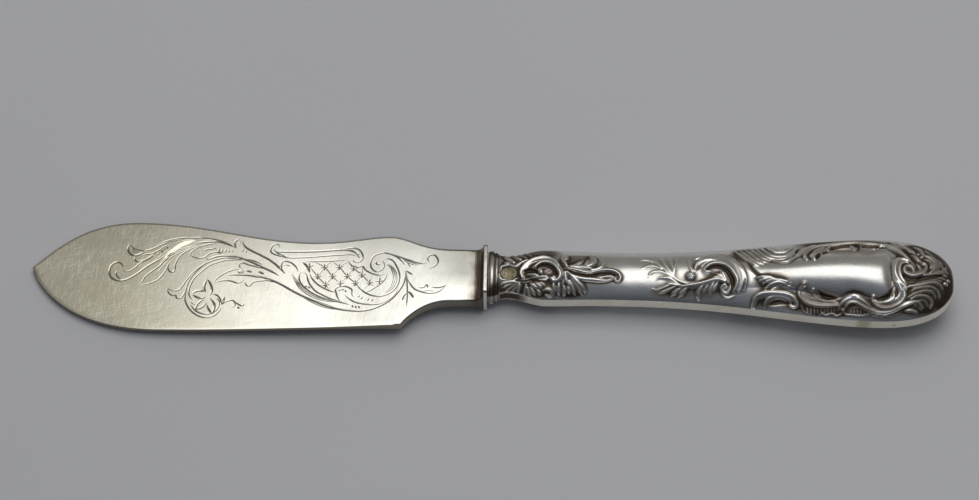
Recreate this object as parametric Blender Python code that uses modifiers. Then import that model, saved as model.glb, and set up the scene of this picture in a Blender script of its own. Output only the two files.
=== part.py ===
"""Butter knife with a silver blade on a filled silver handle.

The blade is forged with a flared root. A bolster plate lies between that root and the mouth of the
handle. The handle is two stamped half shells, joined at the sides along a plain band, and it is filled
with resin round an iron tang that holds the blade. The knife lies along X with its tip towards -X, its
back towards +Y and its decorated face up. Sizes are in metres.
"""

import math

import bmesh
import bpy
from mathutils import Matrix, Vector

MM = 0.001

# Blade outline: distances along the knife from the front of the plate, heights from the middle line
BLADE_LENGTH = 97.6 * MM
BLADE_THICKNESS = 1.4 * MM
TIP_HEIGHT = 0.4 * MM
NECK_WIDTH = 12.6 * MM
NECK_AT = 6.5 * MM
BACK_KNOB_AT = 20.0 * MM
BACK_KNOB_HEIGHT = 9.6 * MM
BACK_HOLLOW_AT = 37.0 * MM
BACK_HOLLOW_HEIGHT = 8.0 * MM
BACK_CREST_AT = 74.5 * MM
BACK_CREST_HEIGHT = 12.4 * MM
HEEL_AT = 17.1 * MM
HEEL_DROP = 12.9 * MM
BELLY_AT = 70.0 * MM
BELLY_DROP = 14.8 * MM
RIM_ROUND = 0.25 * MM

# Flared root of the blade
FLARE_LENGTH = 5.0 * MM
ROOT_THICKNESS = 7.0 * MM
FLARE_POWER = 2.4
FLARE_STEPS = 9

# Bolster plate
PLATE_LENGTH = 1.1 * MM
PLATE_WIDTH = 12.9 * MM
PLATE_DEPTH = 7.8 * MM
PLATE_ROUND = 0.4 * MM

# Tang, a flat spike that tapers to its end in the handle
TANG_WIDTH = 5.0 * MM
TANG_DEPTH = 2.6 * MM
TANG_IN_BLADE = 1.2 * MM
TANG_IN_HANDLE = 62.0 * MM
TANG_END_SCALE = 0.45

# Handle: distances from the mouth, half widths and half depths from the middle line
HANDLE_LENGTH = 101.0 * MM
MOUTH_HALF_WIDTH = 5.6 * MM
MOUTH_HALF_DEPTH = 3.2 * MM
THROAT_AT = 4.2 * MM
THROAT_HALF_WIDTH = 5.0 * MM
THROAT_HALF_DEPTH = 3.0 * MM
SHOULDER_AT = 12.5 * MM
SHOULDER_HALF_WIDTH = 6.2 * MM
SHOULDER_HALF_DEPTH = 4.1 * MM
WAIST_AT = 25.0 * MM
WAIST_HALF_WIDTH = 5.9 * MM
WAIST_HALF_DEPTH = 4.2 * MM
BUTT_AT = 84.5 * MM
BUTT_HALF_WIDTH = 10.2 * MM
BUTT_HALF_DEPTH = 6.4 * MM
SWELL_EASE = 1.35
BUTT_FULLNESS = 2.3
BAND_HALF_HEIGHT = 1.35 * MM
SHELL_WALL = 0.45 * MM

# Reeded rings stamped round the mouth: where each starts, how long it is and how far it stands out
RINGS = ((0.3 * MM, 1.4 * MM, 0.3 * MM), (2.0 * MM, 1.0 * MM, 0.2 * MM))
RING_STEPS = 6

# Clearances
SOLDER_FILM = 0.1 * MM
SEAT_GAP = 0.3 * MM
RESIN_START = 0.8 * MM

# Facets of the handle
BODY_STEPS = 30
BUTT_STEPS = 11
DOME_STEPS = 14

PLATE_BACK = -SEAT_GAP
PLATE_FRONT = PLATE_BACK - PLATE_LENGTH
BLADE_ROOT = PLATE_FRONT - SOLDER_FILM
TIP = BLADE_ROOT - BLADE_LENGTH


def new_collection(name):
    group = bpy.data.collections.new(name)
    bpy.context.scene.collection.children.link(group)
    return group


def metal(name, colour, roughness, metallic):
    """A plain material with one colour."""
    made = bpy.data.materials.new(name)
    made.use_nodes = True
    shader = made.node_tree.nodes["Principled BSDF"]
    shader.inputs["Base Color"].default_value = (*colour, 1.0)
    shader.inputs["Roughness"].default_value = roughness
    shader.inputs["Metallic"].default_value = metallic
    return made


def add_object(name, mesh, material, group, parent, smooth_angle=math.radians(35)):
    """A named piece in the knife's frame, shaded smooth except across sharp edges."""
    mesh.name = name
    if not mesh.materials:
        mesh.materials.append(material)
    mesh.shade_smooth()
    mesh.set_sharp_from_angle(angle=smooth_angle)
    piece = bpy.data.objects.new(name, mesh)
    piece.parent = parent
    group.objects.link(piece)
    return piece


def mesh_of(shape, name):
    mesh = bpy.data.meshes.new(name)
    shape.to_mesh(mesh)
    shape.free()
    return mesh


def round_edges(piece, width, segments):
    bevel = piece.modifiers.new("rounded edges", "BEVEL")
    bevel.width = width
    bevel.segments = segments
    bevel.limit_method = "ANGLE"
    bevel.angle_limit = math.radians(45)


def cut_out(piece, cutter):
    cut = piece.modifiers.new("room for " + cutter.name, "BOOLEAN")
    cut.operation = "DIFFERENCE"
    cut.solver = "EXACT"
    cut.object = cutter


def blade_outline():
    """Knots of the outline from the root round the back, the tip and the edge: place, handle before, handle after."""
    half_neck = NECK_WIDTH / 2
    root, neck = BLADE_ROOT, BLADE_ROOT - NECK_AT
    tip_rise = BACK_CREST_HEIGHT / 2
    tip_drop = BELLY_DROP / 2
    return (
        level_knot(neck, half_neck, 0.0, -0.5 * (BACK_KNOB_AT - NECK_AT)),
        level_knot(
            BLADE_ROOT - BACK_KNOB_AT,
            BACK_KNOB_HEIGHT,
            0.3 * (BACK_KNOB_AT - NECK_AT),
            -0.3 * (BACK_HOLLOW_AT - BACK_KNOB_AT),
        ),
        level_knot(
            BLADE_ROOT - BACK_HOLLOW_AT,
            BACK_HOLLOW_HEIGHT,
            0.45 * (BACK_HOLLOW_AT - BACK_KNOB_AT),
            -0.35 * (BACK_CREST_AT - BACK_HOLLOW_AT),
        ),
        level_knot(
            BLADE_ROOT - BACK_CREST_AT,
            BACK_CREST_HEIGHT,
            0.4 * (BACK_CREST_AT - BACK_HOLLOW_AT),
            -0.5 * (BLADE_LENGTH - BACK_CREST_AT),
        ),
        (
            Vector((TIP, TIP_HEIGHT)),
            Vector((0.26 * (BLADE_LENGTH - BACK_CREST_AT), tip_rise)),
            Vector((0.1 * (BLADE_LENGTH - BELLY_AT), -tip_drop)),
        ),
        level_knot(
            BLADE_ROOT - BELLY_AT,
            -BELLY_DROP,
            -0.6 * (BLADE_LENGTH - BELLY_AT),
            0.3 * (BELLY_AT - HEEL_AT),
        ),
        (
            Vector((BLADE_ROOT - HEEL_AT, -HEEL_DROP)),
            Vector((0.3 * (HEEL_AT - BELLY_AT), 0.3 * (HEEL_DROP - BELLY_DROP))),
            Vector((0.2 * (HEEL_AT - NECK_AT), 0.5 * (HEEL_DROP - half_neck))),
        ),
        level_knot(neck, -half_neck, -0.45 * (HEEL_AT - NECK_AT), 0.0),
        (Vector((root, -half_neck)), None, None),
        (Vector((root, half_neck)), None, None),
    )


def level_knot(x, y, before, after):
    """A knot where the outline runs along the knife, with the reach of its handles on both sides."""
    reach_before = Vector((before, 0.0)) if before else None
    reach_after = Vector((after, 0.0)) if after else None
    return Vector((x, y)), reach_before, reach_after


def flat_plate_mesh(knots, thickness):
    """A closed outline filled and given a thickness."""
    curve = bpy.data.curves.new("blade outline", "CURVE")
    curve.dimensions = "2D"
    curve.fill_mode = "BOTH"
    curve.extrude = thickness / 2
    curve.resolution_u = 9
    spline = curve.splines.new("BEZIER")
    spline.bezier_points.add(len(knots) - 1)
    spline.use_cyclic_u = True
    for point, (place, before, after) in zip(spline.bezier_points, knots):
        point.co = (*place, 0.0)
        point.handle_left_type = "FREE" if before else "VECTOR"
        point.handle_right_type = "FREE" if after else "VECTOR"
        if before:
            point.handle_left = (*(place + before), 0.0)
        if after:
            point.handle_right = (*(place + after), 0.0)
    holder = bpy.data.objects.new("blade outline", curve)
    bpy.context.scene.collection.objects.link(holder)
    mesh = bpy.data.meshes.new_from_object(holder)
    bpy.data.objects.remove(holder)
    return mesh


def flare_scale(x):
    """How many times thicker the blade is at x than its flat part."""
    along = (x - (BLADE_ROOT - FLARE_LENGTH)) / FLARE_LENGTH
    if along <= 0:
        return 1.0
    return 1 + (ROOT_THICKNESS / BLADE_THICKNESS - 1) * min(along, 1.0) ** FLARE_POWER


def blade_mesh():
    """The flat blade, cut across at each step of the flare and thickened there."""
    shape = bmesh.new()
    shape.from_mesh(flat_plate_mesh(blade_outline(), BLADE_THICKNESS))
    bmesh.ops.remove_doubles(shape, verts=shape.verts, dist=0.01 * MM)
    for step in range(FLARE_STEPS):
        x = BLADE_ROOT - FLARE_LENGTH * (1 - step / FLARE_STEPS)
        everything = shape.verts[:] + shape.edges[:] + shape.faces[:]
        bmesh.ops.bisect_plane(shape, geom=everything, plane_co=(x, 0, 0), plane_no=(1, 0, 0))
    for vert in shape.verts:
        vert.co.z *= flare_scale(vert.co.x)
    bmesh.ops.recalc_face_normals(shape, faces=shape.faces)
    return mesh_of(shape, "blade")


def plate_mesh():
    shape = bmesh.new()
    bmesh.ops.create_cube(shape, size=1.0)
    bmesh.ops.scale(shape, vec=(PLATE_LENGTH, PLATE_WIDTH, PLATE_DEPTH), verts=shape.verts)
    bmesh.ops.translate(shape, vec=(PLATE_BACK - PLATE_LENGTH / 2, 0, 0), verts=shape.verts)
    return mesh_of(shape, "bolster_plate")


def tang_mesh(name, grow):
    """The tang, or the room for it, when it is grown on every side."""
    start = BLADE_ROOT - TANG_IN_BLADE - grow
    end = TANG_IN_HANDLE + grow
    shape = bmesh.new()
    bmesh.ops.create_cone(
        shape, cap_ends=True, segments=4, radius1=math.sqrt(0.5), radius2=math.sqrt(0.5), depth=1.0
    )
    bmesh.ops.rotate(shape, cent=(0, 0, 0), matrix=Matrix.Rotation(math.radians(45), 3, "Z"), verts=shape.verts)
    bmesh.ops.rotate(shape, cent=(0, 0, 0), matrix=Matrix.Rotation(math.radians(90), 3, "Y"), verts=shape.verts)
    for vert in shape.verts:
        at_end = vert.co.x > 0
        scale = TANG_END_SCALE if at_end else 1.0
        vert.co.x = end if at_end else start
        vert.co.y *= TANG_WIDTH * scale + 2 * grow
        vert.co.z *= TANG_DEPTH * scale + 2 * grow
    return mesh_of(shape, name)


def ease(t):
    return t * t * (3 - 2 * t)


def swing(s, stations):
    """A half size at s, swinging evenly between its least and greatest values; the last swing starts slowly."""
    for (s0, size0), (s1, size1) in zip(stations, stations[1:]):
        if s <= s1:
            t = (s - s0) / (s1 - s0)
            if s1 == BUTT_AT:
                t = t**SWELL_EASE
            return size0 + (size1 - size0) * ease(t)
    return stations[-1][1]


def ring_rise(s):
    for start, length, rise in RINGS:
        if start < s < start + length:
            return rise * math.sin(math.pi * (s - start) / length)
    return 0.0


def handle_half_sizes(s, inset):
    """Half width and half depth of the handle at s, inside its surface by inset."""
    end = HANDLE_LENGTH - inset
    width = swing(
        s,
        (
            (0.0, MOUTH_HALF_WIDTH),
            (THROAT_AT, THROAT_HALF_WIDTH),
            (SHOULDER_AT, SHOULDER_HALF_WIDTH),
            (WAIST_AT, WAIST_HALF_WIDTH),
            (BUTT_AT, BUTT_HALF_WIDTH),
        ),
    )
    depth = swing(
        s,
        (
            (0.0, MOUTH_HALF_DEPTH),
            (THROAT_AT, THROAT_HALF_DEPTH),
            (SHOULDER_AT, SHOULDER_HALF_DEPTH),
            (WAIST_AT, WAIST_HALF_DEPTH),
            (BUTT_AT, BUTT_HALF_DEPTH),
        ),
    )
    rise = ring_rise(s) if inset == 0 else 0.0
    width += rise - inset
    depth += rise - inset
    if s > BUTT_AT:
        along = min((s - BUTT_AT) / (end - BUTT_AT), 1.0)
        rounding = (1 - along**BUTT_FULLNESS) ** (1 / BUTT_FULLNESS)
        width *= rounding
        depth = BAND_HALF_HEIGHT + (depth - BAND_HALF_HEIGHT) * rounding
    return width, depth


def handle_stations(start, end, with_rings):
    """Where the handle is divided along its length: close at the rings and towards the rounded end."""
    if with_rings:
        stations = [start]
        for ring_start, length, _ in RINGS:
            stations += [ring_start + length * step / RING_STEPS for step in range(RING_STEPS + 1)]
    else:
        stations = [start]
    first = stations[-1]
    stations += [first + (BUTT_AT - first) * (step + 1) / BODY_STEPS for step in range(BODY_STEPS)]
    for step in range(1, BUTT_STEPS + 1):
        stations.append(BUTT_AT + (end - BUTT_AT) * math.sin(math.pi / 2 * step / BUTT_STEPS))
    return stations


def half_handle(start, inset, seam, with_rings):
    """The upper half of the handle's surface: a grid wrapped from one seam over the dome to the other."""
    stations = handle_stations(start, HANDLE_LENGTH - inset, with_rings)
    rows, columns = len(stations) - 1, DOME_STEPS + 2
    shape = bmesh.new()
    bmesh.ops.create_grid(shape, x_segments=rows, y_segments=columns, size=1.0)
    for vert in shape.verts:
        s = stations[round((vert.co.x + 1) / 2 * rows)]
        across = round((vert.co.y + 1) / 2 * columns)
        width, depth = handle_half_sizes(s, inset)
        turn = math.pi * min(max((across - 1) / DOME_STEPS, 0.0), 1.0)
        height = BAND_HALF_HEIGHT + (depth - BAND_HALF_HEIGHT) * math.sin(turn)
        if across in (0, columns):
            height = seam
        vert.co = (s, -width * math.cos(turn), height)
    bmesh.ops.remove_doubles(shape, verts=shape.verts, dist=0.001 * MM)
    return shape


def shell_mesh():
    return mesh_of(half_handle(0.0, 0.0, SOLDER_FILM / 2, True), "handle_shell")


def resin_mesh():
    """What fills the shells: both halves of a smaller handle, closed at the mouth."""
    shape = half_handle(RESIN_START, SHELL_WALL + SEAT_GAP, 0.0, False)
    lower = bmesh.ops.duplicate(shape, geom=shape.verts[:] + shape.edges[:] + shape.faces[:])
    lower_verts = [item for item in lower["geom"] if isinstance(item, bmesh.types.BMVert)]
    bmesh.ops.rotate(shape, cent=(0, 0, 0), matrix=Matrix.Rotation(math.pi, 3, "X"), verts=lower_verts)
    bmesh.ops.remove_doubles(shape, verts=shape.verts, dist=0.001 * MM)
    bmesh.ops.holes_fill(shape, edges=[edge for edge in shape.edges if edge.is_boundary])
    bmesh.ops.recalc_face_normals(shape, faces=shape.faces)
    return mesh_of(shape, "resin_filling")


def add_shell(name, mesh, material, group, parent, turn):
    shell = add_object(name, mesh, material, group, parent)
    shell.rotation_euler.x = turn
    wall = shell.modifiers.new("shell wall", "SOLIDIFY")
    wall.thickness = SHELL_WALL
    wall.offset = -1.0
    wall.use_even_offset = True
    wall.use_quality_normals = True
    return shell


for old in list(bpy.data.objects):
    bpy.data.objects.remove(old)

knife = new_collection("butter knife")
cutters = new_collection("cutters")
blade_silver = metal("blade silver", (0.88, 0.86, 0.80), 0.28, 1.0)
handle_silver = metal("handle silver", (0.85, 0.84, 0.80), 0.25, 1.0)
tang_iron = metal("tang iron", (0.23, 0.21, 0.19), 0.6, 1.0)
pitch = metal("pitch resin", (0.07, 0.035, 0.02), 0.5, 0.0)

# The middle of the knife's box, at its underside, lies at the origin
frame = bpy.data.objects.new("knife frame", None)
frame.location = (-(HANDLE_LENGTH + TIP) / 2, (BELLY_DROP - BACK_CREST_HEIGHT) / 2, BUTT_HALF_DEPTH)
knife.objects.link(frame)

tang_room = add_object("tang room", tang_mesh("tang room", SEAT_GAP), tang_iron, cutters, frame)
tang_room.hide_render = True
tang_room.display_type = "WIRE"

blade = add_object("blade", blade_mesh(), blade_silver, knife, frame)
round_edges(blade, RIM_ROUND, 2)
cut_out(blade, tang_room)

plate = add_object("bolster_plate", plate_mesh(), blade_silver, knife, frame)
round_edges(plate, PLATE_ROUND, 3)
cut_out(plate, tang_room)

add_object("tang", tang_mesh("tang", 0.0), tang_iron, knife, frame)

shell = shell_mesh()
add_shell("handle_front_shell", shell, handle_silver, knife, frame, 0.0)
add_shell("handle_back_shell", shell, handle_silver, knife, frame, math.pi)

resin = add_object("resin_filling", resin_mesh(), pitch, knife, frame)
cut_out(resin, tang_room)
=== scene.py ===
"""An antique silver butter knife: an engraved blade, a bolster plate and a stamped, filled handle.

Sizes are in millimetres in the knife's own frame until a mesh is placed: x runs along the knife from the
mouth of the handle, y across it from the middle line and z up from the seam of the handle's two shells.
"""

import math

import bmesh
import bpy
import numpy as np
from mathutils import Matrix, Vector
from mathutils.geometry import delaunay_2d_cdt


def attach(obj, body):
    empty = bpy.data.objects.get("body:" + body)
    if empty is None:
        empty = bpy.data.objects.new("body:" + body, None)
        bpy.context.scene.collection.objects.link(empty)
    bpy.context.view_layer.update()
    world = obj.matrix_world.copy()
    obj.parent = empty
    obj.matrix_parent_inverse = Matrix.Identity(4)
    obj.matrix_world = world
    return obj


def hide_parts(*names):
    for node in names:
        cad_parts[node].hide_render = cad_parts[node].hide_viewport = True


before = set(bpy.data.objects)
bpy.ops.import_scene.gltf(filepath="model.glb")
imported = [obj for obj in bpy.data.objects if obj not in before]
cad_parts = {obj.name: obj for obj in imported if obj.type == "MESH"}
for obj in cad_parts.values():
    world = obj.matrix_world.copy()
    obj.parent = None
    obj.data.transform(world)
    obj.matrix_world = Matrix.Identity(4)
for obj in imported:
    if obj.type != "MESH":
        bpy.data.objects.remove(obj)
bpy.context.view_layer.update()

MM = 0.001
TINY = 1e-9
MERGE_WITHIN = 0.0004
FLAT_WITHIN = 0.0002

# Blade outline: distances along the knife from BLADE_ROOT, heights from the middle line
BLADE_LENGTH = 97.6
BLADE_THICKNESS = 1.4
TIP_HEIGHT = 0.4
NECK_FAR = 6.3
NECK_NEAR = 7.0
NECK_AT = 6.5
BACK_KNOB_AT = 20.0
BACK_KNOB_HEIGHT = 9.6
BACK_HOLLOW_AT = 37.0
BACK_HOLLOW_HEIGHT = 8.0
BACK_CREST_AT = 74.5
BACK_CREST_HEIGHT = 12.4
HEEL_AT = 17.1
HEEL_DROP = 12.9
BELLY_AT = 70.0
BELLY_DROP = 14.8
BLADE_ROOT = -1.5
TIP = BLADE_ROOT - BLADE_LENGTH

# Flared root of the blade, and where the blade grows thicker towards its neck
ROOT_REACH = 0.5
ROOT_END = BLADE_ROOT + ROOT_REACH
ROOT_HALF_WIDTH = 6.15
ROOT_NEAR = 6.9
FLARE_LENGTH = 4.5
ROOT_RUN = 1.3 * FLARE_LENGTH
ROOT_THICKNESS = 6.8
FLARE_POWER = 8.0
FLARE_STEPS = 32
FLARE_CROWDING = 1.6
NECK_THICKNESS = 3.0
THICKER_FROM = 34.0

# The faces are a little fuller along the middle of the blade
CROWN = 0.15
CROWN_MIDDLE = -1.2
CROWN_HALF = 13.6

# Rim of the blade: how far each ring lies inside the outline and below the face, on the back and on the edge,
# and how the one turns into the other behind the heel and at the tip
BACK_RIM = ((0.0, 0.42), (0.06, 0.22), (0.25, 0.07), (0.62, 0.0))
EDGE_RIM = ((0.0, 0.16), (0.05, 0.06), (0.30, 0.015), (0.60, 0.0))
EDGE_FROM = 0.8 * HEEL_AT
EDGE_RUN = 6.0
TIP_RUN = 3.0

# Mesh of the blade's faces
OUTLINE_STEP = 0.5
FACE_STEP = 1.2
FACE_CLEAR = 0.4
FACE_MERGE = 1e-4
INSIDE_BORDER = 1
FLARE_CLEAR = 0.15
FLARE_BEND = 2.0
SHARP_ANGLE = math.radians(8)
CORNER_ANGLE = math.radians(50)

# For the blade's finish: how near a cut's own depth a point of the face lies, where the side with its painted
# shade begins below the face, and between which depths the rim with its painted highlight lies
ON_FACE = 0.005
SIDE_FROM = 0.07
SIDE_RUN = 0.08
RIM_FROM = 0.03
RIM_TO = 0.1

# Engraved cuts
CUT_STEP = 0.3
CUT_SLOPE = 0.30
CUT_TAPER = 0.22
CUT_RUN_OUT = 2.2
CUT_FULLNESS = 0.7
NARROWEST_CUT = 1e-4
FACET_LEAN = -0.7
FACET_PALENESS = 0.7
DARK_FROM = 0.03
DARK_RUN = 0.05
SHADE_SHIFTS = (-0.42, 0.0, 0.42)
TICK_STRETCH = 1.5
FINE_SLOPE = 0.19
FINE_DARKNESS = 0.8

# Tang, which reaches into the blade and tapers to its end in the handle, and the room round it
TANG_IN_BLADE = 0.4
TANG_END = 62.0
TANG_SPAN = (ROOT_END - TANG_IN_BLADE, TANG_END)
TANG_WIDTHS = (5.0, 2.25)
TANG_DEPTHS = (2.6, 1.17)
TANG_ROOM = 0.3

# Bolster plate: where it starts and ends along the knife, half its width and depth, its rounding
PLATE_SPAN = (-0.98, -0.14)
PLATE_HALF_WIDTH = 6.2
PLATE_HALF_DEPTH = 4.0
PLATE_ROUNDING = 0.14
PLATE_CORNER = 0.5
PLATE_ROUND_STEPS = 4

# Handle: distances from the mouth, half widths and half depths from the middle line
HANDLE_LENGTH = 101.0
BUTT_AT = 84.5
WIDTH_STATIONS = ((0.0, 5.6), (4.2, 4.55), (12.5, 6.3), (25.0, 6.0), (BUTT_AT, 10.35))
DEPTH_STATIONS = ((0.0, 3.2), (4.2, 3.0), (12.5, 4.1), (25.0, 4.2), (BUTT_AT, 6.4))
SWELL_EASE = 1.35
BUTT_FULLNESS = 2.3
BAND_HEIGHT = 1.35
SHELL_WALL = 0.45
SEAM_WITHIN = 0.001
INNER_COLUMNS = 7
RINGS = ((0.3, 1.10, 0.42), (1.58, 0.62, 0.30))
RING_GROOVES = (0.05, 1.49, 2.32)
RING_FLATNESS = 4
RING_TARNISH = 0.85
RESIN_START = 0.8
RESIN_GAP = 0.3
RESIN_ROWS = 60
RESIN_COLUMNS = 11

# The knife's frame in the model's frame
ORIGIN = np.array((-(HANDLE_LENGTH + TIP) / 2, (BELLY_DROP - BACK_CREST_HEIGHT) / 2, 6.4))


# Lines through points, and slow starts


def smooth_line(points, step):
    """A smooth line through the points, divided about every step."""
    points = np.array(points, float)
    if len(points) == 1:
        return points
    before = 2 * points[0] - points[1]
    after = 2 * points[-1] - points[-2]
    knots = np.vstack([before, points, after])
    pieces = []
    for a, b, c, d in zip(knots, knots[1:], knots[2:], knots[3:]):
        count = max(1, math.ceil(np.linalg.norm(c - b) / step))
        t = (np.arange(count) / count)[:, None]
        bend = (2 * a - 5 * b + 4 * c - d) * t**2
        twist = (3 * b - a - 3 * c + d) * t**3
        pieces.append(0.5 * (2 * b + (c - a) * t + bend + twist))
    pieces.append(points[-1:])
    return np.vstack(pieces)


def along_line(line):
    """How far along the line each of its points is, from 0 to 1."""
    if len(line) == 1:
        return np.array([0.5])
    steps = np.linalg.norm(np.diff(line, axis=0), axis=1)
    return np.concatenate([[0.0], np.cumsum(steps)]) / max(steps.sum(), TINY)


def side_of_line(line):
    """The unit direction to the left of the line at each point."""
    along = np.gradient(line, axis=0)
    along /= np.linalg.norm(along, axis=1)[:, None]
    return np.column_stack([-along[:, 1], along[:, 0]])


def ease(t):
    """From 0 to 1, slowly at both ends."""
    t = np.clip(t, 0, 1)
    return t * t * (3 - 2 * t)


def passed(value, span):
    """How much of the span the value has passed, from 0 to 1, slowly at both ends."""
    start, end = span
    return ease((value - start) / (end - start))


# Meshes


def deselect():
    """Leaves no object selected."""
    bpy.ops.object.select_all(action="DESELECT")


def select_only(piece):
    """Selects one piece alone and makes it the active one."""
    deselect()
    bpy.context.view_layer.objects.active = piece
    piece.select_set(True)


def place(points):
    """Points of the knife's frame in metres, in the model's frame."""
    return (np.asarray(points, float) + ORIGIN) * MM


def new_piece(name, verts, faces):
    """A mesh object from points in the knife's frame."""
    mesh = bpy.data.meshes.new(name)
    mesh.from_pydata(place(verts).tolist(), [], faces)
    piece = bpy.data.objects.new(name, mesh)
    bpy.context.scene.collection.objects.link(piece)
    return piece


def new_block(name, span, width, depth):
    """A block round the knife's middle line, from one end of the span to the other."""
    deselect()
    bpy.ops.mesh.primitive_cube_add(size=1, calc_uvs=False, location=place((sum(span) / 2, 0, 0)))
    piece = bpy.context.object
    piece.name = name
    piece.scale = ((span[1] - span[0]) * MM, width * MM, depth * MM)
    bpy.ops.object.transform_apply(location=True, rotation=True, scale=True)
    return piece


def edit_edges(piece, chosen):
    """Starts edit mode with only those edges selected that chosen picks by their two ends."""
    bpy.ops.object.mode_set(mode="EDIT")
    bpy.ops.mesh.select_mode(type="EDGE")
    bpy.ops.mesh.select_all(action="DESELECT")
    bpy.ops.object.mode_set(mode="OBJECT")
    for edge in piece.data.edges:
        edge.select = chosen(*(piece.data.vertices[i].co for i in edge.vertices))
    bpy.ops.object.mode_set(mode="EDIT")


def tidy_piece(piece, fill_holes=False):
    """Merges points that meet, closes open ends and turns the faces outwards."""
    select_only(piece)
    bpy.ops.object.mode_set(mode="EDIT")
    bpy.ops.mesh.select_all(action="SELECT")
    bpy.ops.mesh.remove_doubles(threshold=MERGE_WITHIN * MM)
    bpy.ops.mesh.dissolve_degenerate(threshold=FLAT_WITHIN * MM)
    if fill_holes:
        bpy.ops.mesh.select_all(action="SELECT")
        bpy.ops.mesh.fill_holes(sides=0)
    bpy.ops.mesh.select_all(action="SELECT")
    bpy.ops.mesh.normals_make_consistent(inside=False)
    bpy.ops.object.mode_set(mode="OBJECT")


def keep_values(piece, name, values):
    """Stores one number for each point of the mesh, for its material."""
    layer = piece.data.attributes.new(name, "FLOAT", "POINT")
    layer.data.foreach_set("value", np.asarray(values, np.float32).ravel())


def mesh_points(piece):
    """The piece's points in the knife's frame, in millimetres."""
    flat = np.zeros(len(piece.data.vertices) * 3)
    piece.data.vertices.foreach_get("co", flat)
    return flat.reshape(-1, 3) / MM - ORIGIN


def faces_round(rows, columns):
    """Faces between rows of points that each run round to their first point, with the first row closed."""
    faces = []
    for start in range(0, (rows - 1) * columns, columns):
        for column in range(columns):
            beside = (column + 1) % columns
            here, there = start + column, start + columns + column
            faces.append((here, there, start + columns + beside, start + beside))
    faces.append(tuple(range(columns)))
    return faces


# Engraving on the blade: a cut's greatest width, then points from BLADE_ROOT and the middle line.
# A broad cut is shaded with fine lines side by side, and a gouge is a facet that leans to one side
FINE = 0.28
LINE = 0.42
BOLD = 0.56
BROAD = 0.78
GOUGE = 1.15

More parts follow.
